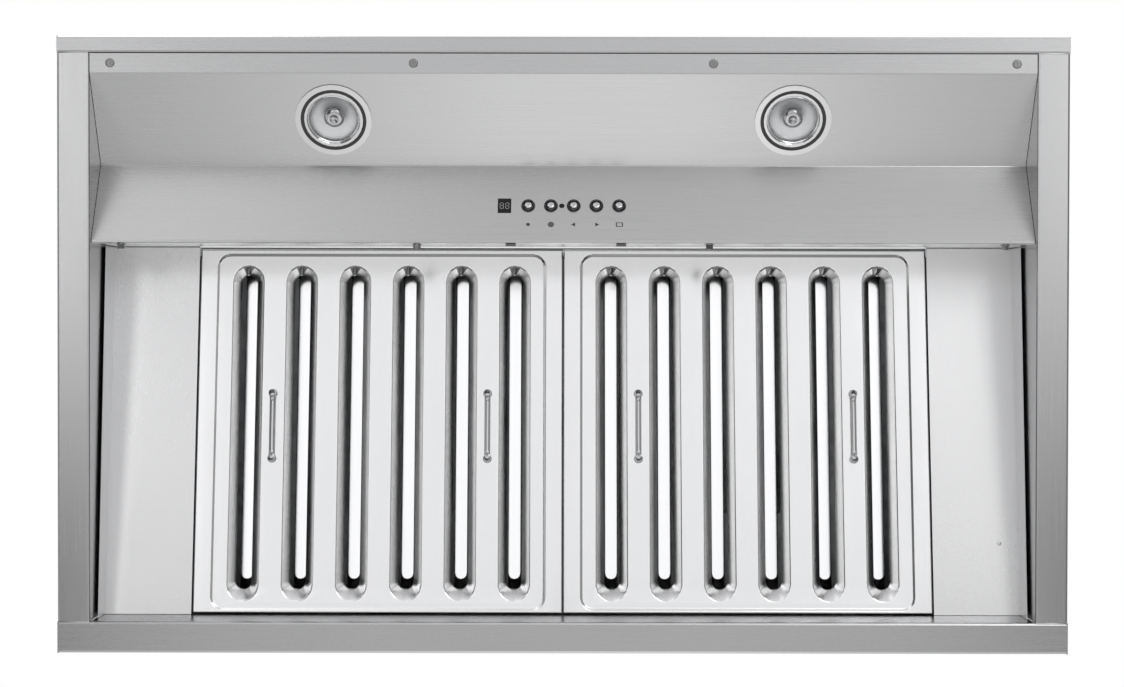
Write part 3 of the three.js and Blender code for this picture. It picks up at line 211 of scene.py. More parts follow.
mirror_card("card_dark", (2, 0, -0.83), (-0.26, 0, 0.4), (3.4, 2.6), "X", dark_tones)

# ---- Pan: the four folded walls and the rim ------------------
# Brushed stainless steel, 1.2 mm thick. The grain runs along each strip of the rim and along
# each wall, as the sheet was brushed before it was folded. The rims meet at the corners in short
# ground weld seams.


def group_with(name, inputs, outputs):
    """An empty node group with float inputs given as (name, value) and float outputs."""
    tree = bpy.data.node_groups.new(name, "ShaderNodeTree")
    for socket_name, value in inputs:
        socket = tree.interface.new_socket(socket_name, in_out="INPUT", socket_type="NodeSocketFloat")
        socket.default_value = value
    for socket_name in outputs:
        tree.interface.new_socket(socket_name, in_out="OUTPUT", socket_type="NodeSocketFloat")
    entry = tree.nodes.new("NodeGroupInput")
    leave = tree.nodes.new("NodeGroupOutput")
    return tree, entry, leave


def noise_of(tree, place, scale, detail=2, roughness=0.5):
    entries = {"Vector": place, "Scale": scale, "Detail": detail, "Roughness": roughness}
    return fed_node(tree, "TexNoise", entries).outputs


def make_brush_grain():
    """Fine streaks whose length follows the axis with the smallest figure, in waves per metre."""
    tree, entry, leave = group_with(
        "brush_grain", [("X", 12), ("Y", 1800), ("Z", 1800)], ["Streak", "Cloud"]
    )
    place = object_place(tree)
    pitch = fed_node(tree, "CombineXYZ", {axis: entry.outputs[axis] for axis in "XYZ"})
    stretched = fed_node(tree, "VectorMath", {0: place, 1: pitch.outputs[0]}, "MULTIPLY")
    streak = noise_of(tree, stretched.outputs[0], 1, 3, 0.65)
    fed(leave, {"Streak": streak["Fac"], "Cloud": noise_of(tree, place, 4)["Fac"]})
    return tree


brush_grain = make_brush_grain()


def group_node(tree, group, values):
    """The outputs of a node group that is placed with its own values."""
    node = tree.nodes.new("ShaderNodeGroup")
    node.node_tree = group
    return fed(node, values).outputs


def tone_between(tree, mask, dark, light):
    """A colour between two tones, chosen by a mask of 0 to 1."""
    ramp = fed_node(tree, "ValToRGB", {"Fac": mask})
    first, last = ramp.color_ramp.elements
    first.position = 0.3
    first.color = (*dark, 1)
    last.position = 0.7
    last.color = (*light, 1)
    return ramp.outputs["Color"]


def range_between(tree, mask, low, high):
    entries = {"Value": mask, "From Min": 0.3, "From Max": 0.7, "To Min": low, "To Max": high}
    return fed_node(tree, "MapRange", entries).outputs["Result"]


def bump_from(tree, mask, strength, distance):
    entries = {"Height": mask, "Strength": strength, "Distance": distance}
    return fed_node(tree, "Bump", entries).outputs["Normal"]


def mixed_masks(tree, first, second, share):
    """The first mask times its share, plus the second times the rest."""
    rest = math_of(tree, "MULTIPLY", second, 1 - share)
    return math_of(tree, "MULTIPLY_ADD", first, share, rest)


def new_finish(name, metallic=0):
    """A material, its tree and its surface."""
    finish = bpy.data.materials.new(name)
    finish.use_nodes = True
    surface = finish.node_tree.nodes["Principled BSDF"]
    surface.inputs["Metallic"].default_value = metallic
    return finish, finish.node_tree, surface


def vary(surface, pattern, tone, shades, rough_mask, rough):
    """Lets a pattern shade the tone of a surface between two shares, and a mask its roughness."""
    tree = surface.id_data
    dark, light = ([min(1, channel * shade) for channel in tone] for shade in shades)
    colour = tone_between(tree, pattern, dark, light)
    fed(surface, {"Base Color": colour, "Roughness": range_between(tree, rough_mask, *rough)})


def brushed_steel(name, tone, roughness, grain, spread=0.05, relief=0.08):
    """Steel with streaks. grain is the waves per metre along X, Y and Z."""
    finish, tree, surface = new_finish(name, 1)
    brushed = group_node(tree, brush_grain, dict(zip("XYZ", grain)))
    pattern = mixed_masks(tree, brushed["Streak"], brushed["Cloud"], 0.65)
    rough = (roughness - 0.05, roughness + 0.06)
    vary(surface, pattern, tone, (1 - spread, 1 + spread), pattern, rough)
    fed(surface, {"Normal": bump_from(tree, brushed["Streak"], relief, 0.2 * MM)})
    return finish


def dress(node_name, finish):
    """Gives a CAD node its finish."""
    data = frame["nodes"][node_name].data
    data.materials.clear()
    data.materials.append(finish)


def selected_alone(piece):
    bpy.ops.object.select_all(action="DESELECT")
    piece.select_set(True)
    bpy.context.view_layer.objects.active = piece


def open_mesh():
    bpy.ops.object.mode_set(mode="EDIT")


def close_mesh():
    bpy.ops.object.mode_set(mode="OBJECT")


def pick(kind, test):
    """Selects the faces, edges or vertices of the mesh in edit mode that pass the test."""
    mesh = bmesh.from_edit_mesh(bpy.context.object.data)
    bpy.context.tool_settings.mesh_select_mode = (kind == "verts", kind == "edges", kind == "faces")
    for everything in (mesh.faces, mesh.edges, mesh.verts):
        for element in everything:
            element.select = False
    for element in getattr(mesh, kind):
        if test(element):
            element.select_set(True)
    bmesh.update_edit_mesh(bpy.context.object.data)


def round_edges(test, radius, steps):
    pick("edges", test)
    bpy.ops.mesh.bevel(offset=radius, segments=steps, affect="EDGES")


def finish_piece(piece, name, finish, body, place=None, smooth=35):
    """Sets a piece in place with its mesh, and says what it rides on and is made of."""
    if place is not None:
        piece.matrix_world = place @ piece.matrix_world
    selected_alone(piece)
    bpy.ops.object.transform_apply(location=True, rotation=True, scale=True)
    bpy.ops.object.shade_smooth_by_angle(angle=math.radians(smooth))
    piece.select_set(False)
    piece.name = name
    piece.data.name = name
    piece.data.materials.clear()
    piece.data.materials.append(finish)
    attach(piece, body)
    return piece


def weld_seam(radius, length):
    """A bead of weld about its own Z, rounded at its ends."""
    bpy.ops.mesh.primitive_cylinder_add(vertices=16, radius=radius, depth=length)
    seam = bpy.context.object
    open_mesh()
    round_edges(lambda edge: abs(edge.verts[0].co.z - edge.verts[1].co.z) < 0.1 * MM, 0.5 * MM, 2)
    close_mesh()
    return seam


pan_tone = (0.43, 0.43, 0.434)
steel_along_x = brushed_steel("steel_brushed_across", pan_tone, 0.27, (10, 2200, 2200))
steel_along_y = brushed_steel("steel_brushed_front_to_back", pan_tone, 0.23, (2200, 10, 2200))
dress("front_wall", steel_along_x)
dress("rear_wall", steel_along_x)
dress("left_wall", steel_along_y)
dress("right_wall", steel_along_y)
seam_x = 436.6 * MM
seam_z = 1.15 * MM
for side, sign in (("left", -1), ("right", 1)):
    for end, seam_y in (("front", -260.2 * MM), ("rear", 247.5 * MM)):
        seam_place = Matrix.Translation((sign * seam_x, seam_y, seam_z))
        lying = seam_place @ Matrix.Rotation(math.pi / 2, 4, "Y")
        seam_name = f"corner_seam_{end}_{side}"
        seam = weld_seam(1.1 * MM, 28.2 * MM)
        finish_piece(seam, seam_name, steel_along_x, "housing", lying, 60)

# ---- Top deck ------------------------------------------------
# Zinc coated sheet that lies on the flanges of the four walls. The coating has the flat
# crystals that hot dip gives. Pan head screws, cold formed and nickel plated, hold it down.


def make_spangle():
    tree, entry, leave = group_with("spangle", [("Size", 120)], ["Crystal", "Dull"])
    place = object_place(tree)
    warp = {0: noise_of(tree, place, 30)["Color"], 1: (0.01, 0.01, 0.01), 2: place}
    warped = fed_node(tree, "VectorMath", warp, "MULTIPLY_ADD").outputs[0]
    cells = fed_node(tree, "TexVoronoi", {"Vector": warped, "Scale": entry.outputs["Size"]})
    shade = fed_node(tree, "SeparateColor", {0: cells.outputs["Color"]})
    fed(leave, {"Crystal": shade.outputs[0], "Dull": noise_of(tree, place, 7, 4)["Fac"]})
    return tree


spangle = make_spangle()


def zinc_coated(name, tone, roughness):
    finish, tree, surface = new_finish(name, 1)
    crystals = group_node(tree, spangle, {})
    pattern = mixed_masks(tree, crystals["Crystal"], crystals["Dull"], 0.5)
    vary(surface, pattern, tone, (0.87, 1.08), pattern, (roughness - 0.06, roughness + 0.1))
    fed(surface, {"Normal": bump_from(tree, crystals["Crystal"], 0.08, 0.3 * MM)})
    return finish


def carve(body, cutter):
    """Cuts one object out of another and throws the cutter away."""
    selected_alone(body)
    tool = body.modifiers.new("carve", "BOOLEAN")
    tool.operation = "DIFFERENCE"
    tool.solver = "EXACT"
    tool.object = cutter
    bpy.ops.object.modifier_apply(modifier=tool.name)
    bpy.data.objects.remove(cutter)


def standing(point, direction, turn=0):
    """The place of a thing whose own Z points along a direction, turned about it."""
    upright = Vector(direction).to_track_quat("Z", "Y").to_matrix().to_4x4()
    return Matrix.Translation(point) @ upright @ Matrix.Rotation(turn, 4, "Z")


def head_blank(corners, radius, height, rounding, steps):
    """A round or hexagon head that stands on the XY plane, rounded at its top."""
    bpy.ops.mesh.primitive_cylinder_add(vertices=corners, radius=radius, depth=height)
    head = bpy.context.object
    open_mesh()
    bpy.ops.transform.translate(value=(0, 0, height / 2))
    round_edges(
        lambda edge: all(corner.co.z > height * 0.9 for corner in edge.verts), rounding, steps
    )
    close_mesh()
    return head


def pan_head_screw(radius, height):
    """A domed screw head with a cross recess."""
    head = head_blank(28, radius, height, height * 0.75, 4)
    for turn in (0, math.pi / 2):
        bpy.ops.mesh.primitive_cube_add(size=1, location=(0, 0, height), rotation=(0, 0, turn))
        blade = bpy.context.object
        blade.scale = (radius * 1.05, radius * 0.24, height * 1.1)
        carve(head, blade)
    return head


def in_places(make, prefix, places, finish, turn=2.4):
    """Makes one piece of the pan and copies it to every place of (point, outward direction)."""
    home = standing(*places[0])
    first = finish_piece(make(), prefix + "_1", finish, "housing", home)
    for i, place in enumerate(places[1:], start=2):
        other = bpy.data.objects.new(f"{prefix}_{i}", first.data.copy())
        other.data.name = other.name
        other.data.transform(standing(*place, turn=turn * i) @ home.inverted())
        bpy.context.scene.collection.objects.link(other)
        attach(other, "housing")


def deck_head():
    return pan_head_screw(3.6 * MM, 2.2 * MM)


UP = (0, 0, 1)
zinc = zinc_coated("zinc_coated_sheet", (0.5, 0.52, 0.53), 0.42)
screw_steel = brushed_steel("screw_nickel", (0.55, 0.54, 0.52), 0.22, (500, 500, 500), 0.06, 0.05)
dress("top_deck", zinc)
deck_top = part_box("top_deck")[1].z
flange_middle = 428.5
deck_points = [(x, y) for x in (-380, -130, 130, 380) for y in (-266.5, 253.5)]
deck_points += [(side * flange_middle, y) for side in (-1, 1) for y in (-170, 0, 170)]
deck_places = [((x * MM, y * MM, deck_top), UP) for x, y in deck_points]
in_places(deck_head, "deck_screw", deck_places, screw_steel)

# ---- Console panel and its ledge -----------------------------
# One folded sheet across the front: a flange, the slope with the lamps, the slope with the
# buttons, and the wall that the filters stand behind. It is brushed on its face only. Its back is
# mill finish, toned near white so that the filter rims which reflect it look bright: a painted
# reflection. Four screws hold its flange up to the zinc coated ledge, and four more, driven from
# behind, hold the filter rail to its rear wall.


def overlaid(finish, mask, tone):
    """Puts a second tone over the colour of a finish where a mask is 1."""
    tree = finish.node_tree
    surface = tree.nodes["Principled BSDF"]
    first = surface.inputs["Base Color"].links[0].from_socket
    entries = {"Fac": mask, "Color1": first, "Color2": (tone, tone, tone, 1)}
    fed(surface, {"Base Color": fed_node(tree, "MixRGB", entries).outputs[0]})


def make_over_plane():
    """A mask of 1 where a point is more than At along a direction in the plane of Y and Z."""
    tree, entry, leave = group_with("over_plane", [("Y", 1), ("Z", 0), ("At", 0)], ["Mask"])
    normal = fed_node(tree, "CombineXYZ", {axis: entry.outputs[axis] for axis in "YZ"}).outputs[0]
    along = fed_node(tree, "VectorMath", {0: object_place(tree), 1: normal}, "DOT_PRODUCT")
    over = math_of(tree, "GREATER_THAN", along.outputs["Value"], entry.outputs["At"])
    fed(leave, {"Mask": over})
    return tree


over_plane = make_over_plane()


def joined(pieces):
    bpy.ops.object.select_all(action="DESELECT")
    for piece in pieces:
        piece.select_set(True)
    bpy.context.view_layer.objects.active = pieces[0]
    bpy.ops.object.join()
    return pieces[0]


def flanged_screw():
    """A hexagon head on a round flange."""
    bpy.ops.mesh.primitive_cylinder_add(vertices=28, radius=4.6 * MM, depth=1 * MM)
    washer = bpy.context.object
    return joined([head_blank(6, 3.4 * MM, 4.6 * MM, 0.5 * MM, 2), washer])


console_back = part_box("console_panel")[1].y
steel_console = brushed_steel("steel_console", (0.43, 0.43, 0.433), 0.28, (9, 1700, 1700), 0.04, 0.06)
# The back of the sheet is toned 0.97. This is mill finish made near white so that its reflection in the
# filter rims is bright: painted reflection.
mill_back_painted_bright = group_node(steel_console.node_tree, over_plane, {"At": console_back - 0.6 * MM})
overlaid(steel_console, mill_back_painted_bright["Mask"], 0.97)
dress("console_panel", steel_console)
dress("console_ledge", zinc)
# The flange and rail screw heads are toned near black. This makes them stand dark against the flange, in
# place of the shade that a taller head would cast: painted shade.
screw_shade_paint = brushed_steel("screw_painted_dark", (0.22, 0.22, 0.22), 0.24, (500, 500, 500), 0.1, 0.05)
flange_places = [((x * MM, -251 * MM, 1 * MM), (0, 0, -1)) for x in (-403.5, -133.5, 133.5, 403.5)]
in_places(lambda: pan_head_screw(4.1 * MM, 0.95 * MM), "flange_screw", flange_places, screw_shade_paint)
rail_places = [((x * MM, console_back, 12 * MM), (0, 1, 0)) for x in (-396, -131, 131, 396)]
in_places(flanged_screw, "rail_screw", rail_places, screw_shade_paint)

# A strip along the back of that wall is toned near white and placed where the filters' front
# rims and the gap beside them show it, so that it makes a bright line there: a painted highlight.
# Its free edge is rounded.


def block(x, y, z):
    bpy.ops.mesh.primitive_cube_add(size=1)
    solid = bpy.context.object
    solid.data.transform(Matrix.Diagonal((x, y, z, 1)))
    return solid


def painted_glint_strip(length, width, thickness):
    strip = block(length, width, thickness)
    open_mesh()
    round_edges(lambda edge: min(corner.co.y for corner in edge.verts) > width * 0.4, 0.5 * MM, 3)
    close_mesh()
    return strip


# Near white tone: the strip stands for a bright line, a painted highlight.
strip_steel = brushed_steel("painted_glint_strip_steel", (0.84, 0.84, 0.845), 0.25, (10, 900, 900), 0.03, 0.03)
strip_width = 1.4 * MM
strip_place = Matrix.Translation((0, console_back + strip_width / 2 - 0.2 * MM, 89 * MM))
strip = painted_glint_strip(677 * MM, strip_width, 1.4 * MM)
finish_piece(strip, "painted_glint_strip", strip_steel, "housing", strip_place)

# Two grey rubber buffers are pressed on the lower edge of that wall, for a filter that falls
# open to rest on without a clatter.


def moulded(name, tone, roughness, grain=900):
    """Plastic, rubber or paint with the fine grain of its mould and a little unevenness."""
    finish, tree, surface = new_finish(name)
    brushed = group_node(tree, brush_grain, {"X": grain, "Y": grain, "Z": grain})
    pattern = mixed_masks(tree, brushed["Streak"], brushed["Cloud"], 0.5)
    vary(surface, pattern, tone, (0.8, 1.2), pattern, (roughness - 0.05, roughness + 0.08))
    fed(surface, {"Normal": bump_from(tree, brushed["Streak"], 0.1, 0.2 * MM)})
    return finish


def take_all():
    bpy.ops.mesh.select_all(action="SELECT")


def buffer_block():
    buffer = block(9 * MM, 2 * MM, 4 * MM)
    open_mesh()
    take_all()
    bpy.ops.mesh.bevel(offset=0.7 * MM, segments=3, affect="EDGES")
    pick("faces", lambda face: face.normal.y > 0.9)
    bpy.ops.mesh.inset(thickness=0.5 * MM, depth=-0.3 * MM)
    close_mesh()
    return buffer


grey_rubber = moulded("grey_rubber", (0.12, 0.12, 0.12), 0.6)
buffer_places = [((x * MM, console_back + 1 * MM, 8.5 * MM), UP) for x in (-47, 52)]
in_places(buffer_block, "wall_buffer", buffer_places, grey_rubber, 0)

# ---- Lamps ---------------------------------------------------
# Each lamp is a pressed steel can in a hole of the slope, with a turned and polished bezel, a
# cast bowl, a capsule bulb with a coiled filament, and a clear disc in front. A black ring fills
# the groove of the bezel and stands for the shade in it: painted shade. A bright ring holds the
# disc, and a domed cap shields its middle.


def pull(shift):
    """Extrudes what is selected and moves it."""
    bpy.ops.mesh.extrude_region_move(TRANSFORM_OT_translate={"value": shift})


def close_outward():
    """Turns all the faces outwards and leaves edit mode."""
    take_all()
    bpy.ops.mesh.normals_make_consistent(inside=False)
    close_mesh()


def turned(rings, steps):
    """A shape turned about its own Z from rings of (radius, height) in millimetres."""
    profile = [(radius * MM, height * MM) for radius, height in rings]
    bpy.context.tool_settings.mesh_select_mode = (True, False, False)
    bpy.ops.mesh.primitive_plane_add(size=0.1 * MM)
    shape = bpy.context.object
    open_mesh()
    take_all()
    bpy.ops.mesh.merge(type="CENTER")
    bpy.ops.transform.translate(value=(profile[0][0], 0, profile[0][1]))
    for (radius, height), (last_radius, last_height) in zip(profile[1:], profile):
        pull((radius - last_radius, 0, height - last_height))
    take_all()
    bpy.ops.mesh.spin(steps=steps, angle=2 * math.pi, center=(0, 0, 0), axis=UP)
    take_all()
    bpy.ops.mesh.remove_doubles(threshold=0.002 * MM)
    close_outward()
    return shape


def wound_wire(radius, wire, corners, turns, length, steps):
    """A coil of wire about its own Z, with a number of steps to each turn."""
    bpy.ops.mesh.primitive_circle_add(vertices=corners, radius=wire)
    coil = bpy.context.object
    coil.data.transform(Matrix.Rotation(math.pi / 2, 4, "X"))
    coil.data.transform(Matrix.Translation((radius, 0, 0)))
    winding = coil.modifiers.new("winding", "SCREW")
    winding.axis = "Z"
    winding.angle = 2 * math.pi * turns
    winding.screw_offset = length
    winding.steps = steps * turns
    winding.render_steps = steps * turns
    selected_alone(coil)
    bpy.ops.object.modifier_apply(modifier=winding.name)
    return coil


def slope_place(y, z, tilt):
    """The frame of a slope, with its +Z into the hood and its +Y along it to the rear."""
    return Matrix.Translation((0, y * MM, z * MM)) @ Matrix.Rotation(math.radians(tilt), 4, "X")


def glass_finish(name, roughness, tone):
    finish, tree, surface = new_finish(name)
    surface.inputs["Transmission Weight"].default_value = 1
    surface.inputs["IOR"].default_value = 1.46
    streak = group_node(tree, brush_grain, {"X": 60, "Y": 60, "Z": 60})["Streak"]
    vary(surface, streak, tone, (1, 1.02), streak, (roughness, roughness + 0.03))
    return finish


def reflector_bowl():
    """A bowl cast with a thick back, a rolled mouth and a neck for the bulb."""
    rings = [(23.8, 4.2), (24.4, 3.9), (24.4, 5.4), (23.2, 10), (21.3, 16), (18.2, 22), (13.6, 27.5)]
    rings += [(9.4, 31), (8.2, 31.2), (8.2, 37), (6.6, 37), (6.6, 11), (7.4, 10.4), (10, 10.1)]
    rings += [(13.6, 9.5), (17, 8.6), (19.8, 7.6), (21.9, 6.4), (23, 5.2), (23.8, 4.2)]
    return turned(rings, 30)


def bulb_capsule():
    rings = [(0, 9.6), (2.6, 10.2), (4.2, 11.6), (4.9, 14), (4.9, 26), (4.4, 28.5), (2.2, 30.2), (0, 30.4)]
    return turned(rings, 28)


def bulb_filament():
    """A coil of fine wire between two stems."""
    coil = wound_wire(1.1 * MM, 0.16 * MM, 6, 7, 5 * MM, 12)
    coil.data.transform(Matrix.Translation((0, 0, 17 * MM)))
    pieces = [coil]
    for x in (-1.1 * MM, 1.1 * MM):
        stem_middle = (x, 0, 23.8 * MM)
        bpy.ops.mesh.primitive_cylinder_add(
            vertices=8, radius=0.3 * MM, depth=12 * MM, location=stem_middle
        )
        pieces.append(bpy.context.object)
    return joined(pieces)


def bulb_base():
    """The ceramic base that holds the capsule, with a step and a rounded rim."""
    rings = [(0, 28), (3.6, 28), (4.6, 28.6), (4.9, 29.6), (4.9, 33), (4.2, 33.6), (4.2, 40), (0, 40)]
    return turned(rings, 24)


def front_glass():
    rings = [(0, 4.3), (21.4, 4.3), (22.1, 4.5), (22.3, 4.9), (22.1, 5.3), (21.4, 5.5), (0, 5.5)]
    return turned(rings, 48)


def glare_cap():
    """A small domed shield on the middle of the glass, with a dimple in its own middle."""
    rings = [(0, 2.6), (2.2, 2.4), (3.6, 1.4), (4.8, 1), (6.8, 1.3), (8.4, 2.3), (9.2, 3.6), (9.2, 4.32)]
    rings += [(0, 4.32)]
    return turned(rings, 40)


def retaining_ring():
    rings = [(23.2, 3.3), (23.2, 0.3), (22.6, -0.2), (21.9, 0.3), (21.5, 1.2), (21.5, 3.3), (23.2, 3.3)]
    return turned(rings, 64)


def groove_shade_ring():
    """A black ring that fills the groove of the bezel and laps over its edges."""
    # The ring stands for the shade in the groove: painted shade.
    rings = [(27.45, 2), (27.45, 0), (26.7, -0.75), (26.9, -1.15), (27.8, -1.5), (29.2, -1.5)]
    rings += [(29.6, -1.25), (28.55, -1.22), (28.55, 2), (27.45, 2)]
    return turned(rings, 72)


bright_steel = brushed_steel("bright_trim", (0.78, 0.78, 0.785), 0.17, (300, 300, 300), 0.03, 0.03)
bowl_metal = brushed_steel("reflector_metal", (0.85, 0.85, 0.86), 0.5, (200, 200, 200), 0.05, 0.03)
bezel_steel = brushed_steel("bezel_steel", (0.5, 0.5, 0.505), 0.2, (300, 300, 300), 0.03, 0.03)
cap_metal = brushed_steel("glare_cap_metal", (0.4, 0.4, 0.41), 0.12, (300, 300, 300), 0.2, 0.05)
# Black for the ring in the bezel's groove, which stands for its shade: painted shade.
painted_groove_shade = moulded("lamp_gasket", (0.03, 0.03, 0.03), 0.5)
ceramic = moulded("lamp_ceramic", (0.7, 0.68, 0.63), 0.45)
tungsten = brushed_steel("filament_tungsten", (0.25, 0.24, 0.23), 0.3, (900, 900, 900))
clear_glass = glass_finish("clear_glass", 0.01, (0.97, 0.98, 0.98))
lamp_slope = slope_place(-202.95, 24, 30.37)
lamp_reach = 207 * MM
lamp_pieces = (
    (reflector_bowl, "reflector_bowl_", bowl_metal, "chrome", 20, "lamp_reflector_"),
    (bulb_capsule, "bulb_capsule_", clear_glass, "lamp_glass", 35, "lamp_bulb_"),
    (bulb_filament, "bulb_filament_", tungsten, "dark_steel", 35, None),
    (bulb_base, "bulb_base_", ceramic, "grey_plastic", 35, None),
    (front_glass, "front_glass_", clear_glass, "lamp_glass", 35, "lamp_glass_"),
    (glare_cap, "glare_cap_", cap_metal, "chrome", 35, None),
    (retaining_ring, "lamp_ring_", bright_steel, "chrome", 35, None),
    (groove_shade_ring, "lamp_groove_shade_", painted_groove_shade, "black_plastic", 35, None),
)
for side, offset in (("left", -lamp_reach), ("right", lamp_reach)):
    lamp_place = lamp_slope @ Matrix.Translation((offset, 0, 0))
    dress("lamp_bezel_" + side, bezel_steel)
    dress("lamp_can_" + side, zinc)
    for make, name, finish, slot, smooth, node in lamp_pieces:
        piece = finish_piece(make(), name + side, finish, "housing", lamp_place, smooth)
        if node:
            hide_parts(node + side)

# ---- Buttons -------------------------------------------------
# Five push buttons. Each is a black chromed ring with a domed bright cap set into it, and stands
# on a stem that works a switch on the board behind.


def button_ring():
    rings = [(3.8, -1.6), (4, -2.6), (4.6, -3), (5.2, -2.8), (5.8, -2), (6, -1), (6, 1.6), (7.6, 1.6)]
    rings += [(7.6, 2.6), (2, 2.6), (2, 6.6), (0, 6.6), (0, 1), (3.8, 1), (3.8, -1.6)]
    return turned(rings, 40)


def button_cap():
    rings = [(0, -2.4), (1.6, -2.34), (2.7, -2.14), (3.3, -1.9), (3.7, -1.4), (3.7, 0.9), (0, 0.9)]
    return turned(rings, 32)


black_chrome = brushed_steel("black_chrome", (0.07, 0.07, 0.075), 0.18, (400, 400, 400), 0.1, 0.03)
control_slope = slope_place(-125.74, 25.16, -29.91)
middle_button = 9.4
button_pitch = 20.5
button_centres = [middle_button + button_pitch * step for step in (-2, -1, 0, 1, 2)]
for i, centre in enumerate(button_centres, start=1):
    button_place = control_slope @ Matrix.Translation((centre * MM, 0, 0))
    body = f"button_{i}_body"
    ring = finish_piece(button_ring(), f"button_ring_{i}", black_chrome, body, button_place)
    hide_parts(f"button_{i}")
    finish_piece(button_cap(), f"button_cap_{i}", bezel_steel, body, button_place)

# The marks under the buttons are printed in black and grey ink: a small dot, a large dot, two
# triangles and a frame. They say nothing and stand for lamp, fan and timer.


def ink_mark(corners, radius, button, turn=0, line=0, stretch=1):
    """A printed mark under a button: a disc or triangle, or a frame if a line width is given."""
    mark_row = 19.9
    bpy.ops.mesh.primitive_circle_add(vertices=corners, radius=radius * MM, fill_type="NGON")
    mark = bpy.context.object
    open_mesh()
    take_all()
    if line:
        bpy.ops.mesh.inset(thickness=line * MM)
        bpy.ops.mesh.delete(type="FACE")
        take_all()
    pull((0, 0, -0.04 * MM))
    close_outward()
    under_button = Matrix.Translation((button_centres[button - 1] * MM, mark_row * MM, 0))
    stretched = Matrix.Diagonal((stretch, 1, 1, 1))
    mark.data.transform(under_button @ stretched @ Matrix.Rotation(turn, 4, "Z"))
    return mark


ink = moulded("printing_ink", (0.03, 0.03, 0.03), 0.5)
small_dot = ink_mark(20, 1.7, 1)
left_triangle = ink_mark(3, 2.4, 3, -math.pi / 6)
right_triangle = ink_mark(3, 2.4, 4, math.pi / 6)
timer_frame = ink_mark(4, 3.2, 5, math.pi / 4, 0.7, 1.4)
marks = joined([small_dot, left_triangle, right_triangle, timer_frame])
finish_piece(marks, "button_marks", ink, "housing", control_slope)
grey_ink = moulded("printing_ink_grey", (0.09, 0.09, 0.09), 0.5)
fan_mark = ink_mark(28, 2.9, 2)
finish_piece(fan_mark, "button_mark_fan", grey_ink, "housing", control_slope)

# ---- Display and sensor --------------------------------------
# A smoked window with two unlit seven-segment digits behind it, and a small smoked lens for the
# remote control. Both are set in holes of the slope.


def window_block():
    window = block(11.5 * MM, 15 * MM, 2.2 * MM)
    window.data.transform(Matrix.Translation((-53 * MM, 0, 0.9 * MM)))
    open_mesh()
    round_edges(lambda edge: abs(edge.verts[0].co.z - edge.verts[1].co.z) > MM, 1.2 * MM, 4)
    pick("faces", lambda face: face.normal.z < -0.9)
    bpy.ops.mesh.inset(thickness=0.8 * MM)
    bpy.ops.mesh.inset(thickness=0.1 * MM, depth=-0.15 * MM)
    close_mesh()
    return window


def segment(x, y, upright):
    """One bar of a digit, with pointed ends."""
    bpy.ops.mesh.primitive_circle_add(vertices=4, radius=0.42 * MM, fill_type="NGON")
    bar = bpy.context.object
    open_mesh()
    for side in (-1, 1):
        pick("verts", lambda corner: corner.co.x * side > 0.1 * MM)
        bpy.ops.transform.translate(value=(side * 0.9 * MM, 0, 0))
    pick("verts", lambda corner: abs(corner.co.x) < 0.1 * MM)
    bpy.ops.mesh.bevel(offset=0.75 * MM, affect="VERTICES")
    take_all()
    pull((0, 0, -0.02 * MM))
    close_outward()
    if upright:
        bar.data.transform(Matrix.Rotation(math.pi / 2, 4, "Z"))
    bar.data.transform(Matrix.Translation((x * MM, y * MM, -0.06 * MM)))
    return bar


def digit(x):
    level = [segment(x, y, False) for y in (-3, 0, 3)]
    upright = [segment(x + side * 1.5, y, True) for side in (-1, 1) for y in (-1.5, 1.5)]
    return level + upright


smoked = moulded("smoked_window", (0.012, 0.012, 0.014), 0.12)
smoked.node_tree.nodes["Principled BSDF"].inputs["Specular IOR Level"].default_value = 0.2
segment_grey = moulded("segment_grey", (0.6, 0.6, 0.58), 0.4)
window = finish_piece(
    window_block(), "display_face", smoked, "housing", control_slope
)
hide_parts("display_window")
digits = joined(digit(-55.5) + digit(-50.5))
finish_piece(digits, "display_digits", segment_grey, "housing", control_slope)
dress("sensor_window", smoked)

# ---- Control box and board -----------------------------------
# A moulded box behind the slope, which holds the board that carries the switches.

dress("control_box", moulded("control_box_plastic", (0.03, 0.03, 0.032), 0.45))
dress("control_board", moulded("board_varnish", (0.02, 0.09, 0.05), 0.3, 300))

# ---- Filters -------------------------------------------------
# Two baffle filters. The lower sheet of each is pressed stainless steel, nearly polished, with
# an embossed border and six flared slots, and its rims are turned up. The sides of its slots and
# the front step of its border are toned darker or lighter by the way they face: painted shade and
# painted highlights. The second sheet, with its ridges behind the slots, is brighter still. It
# is toned dark above the level of its ridges: painted shade for its deep channels. It is spot
# welded inside the rims.


def filter_steel(name, tone, roughness, hand_marks):
    """Polished steel with faint lengthwise lines and the cloudy marks that wiping leaves."""
    finish, tree, surface = new_finish(name, 1)
    lines = group_node(tree, brush_grain, {"X": 700, "Y": 14, "Z": 700})["Streak"]
    wiped = group_node(tree, brush_grain, {"X": 26, "Y": 9, "Z": 26})["Streak"]
    pattern = mixed_masks(tree, lines, wiped, 0.5)
    vary(surface, pattern, tone, (0.965, 1.02), wiped, (roughness, roughness + hand_marks))
    fed(surface, {"Normal": bump_from(tree, lines, 0.03, 0.2 * MM)})
    return finish


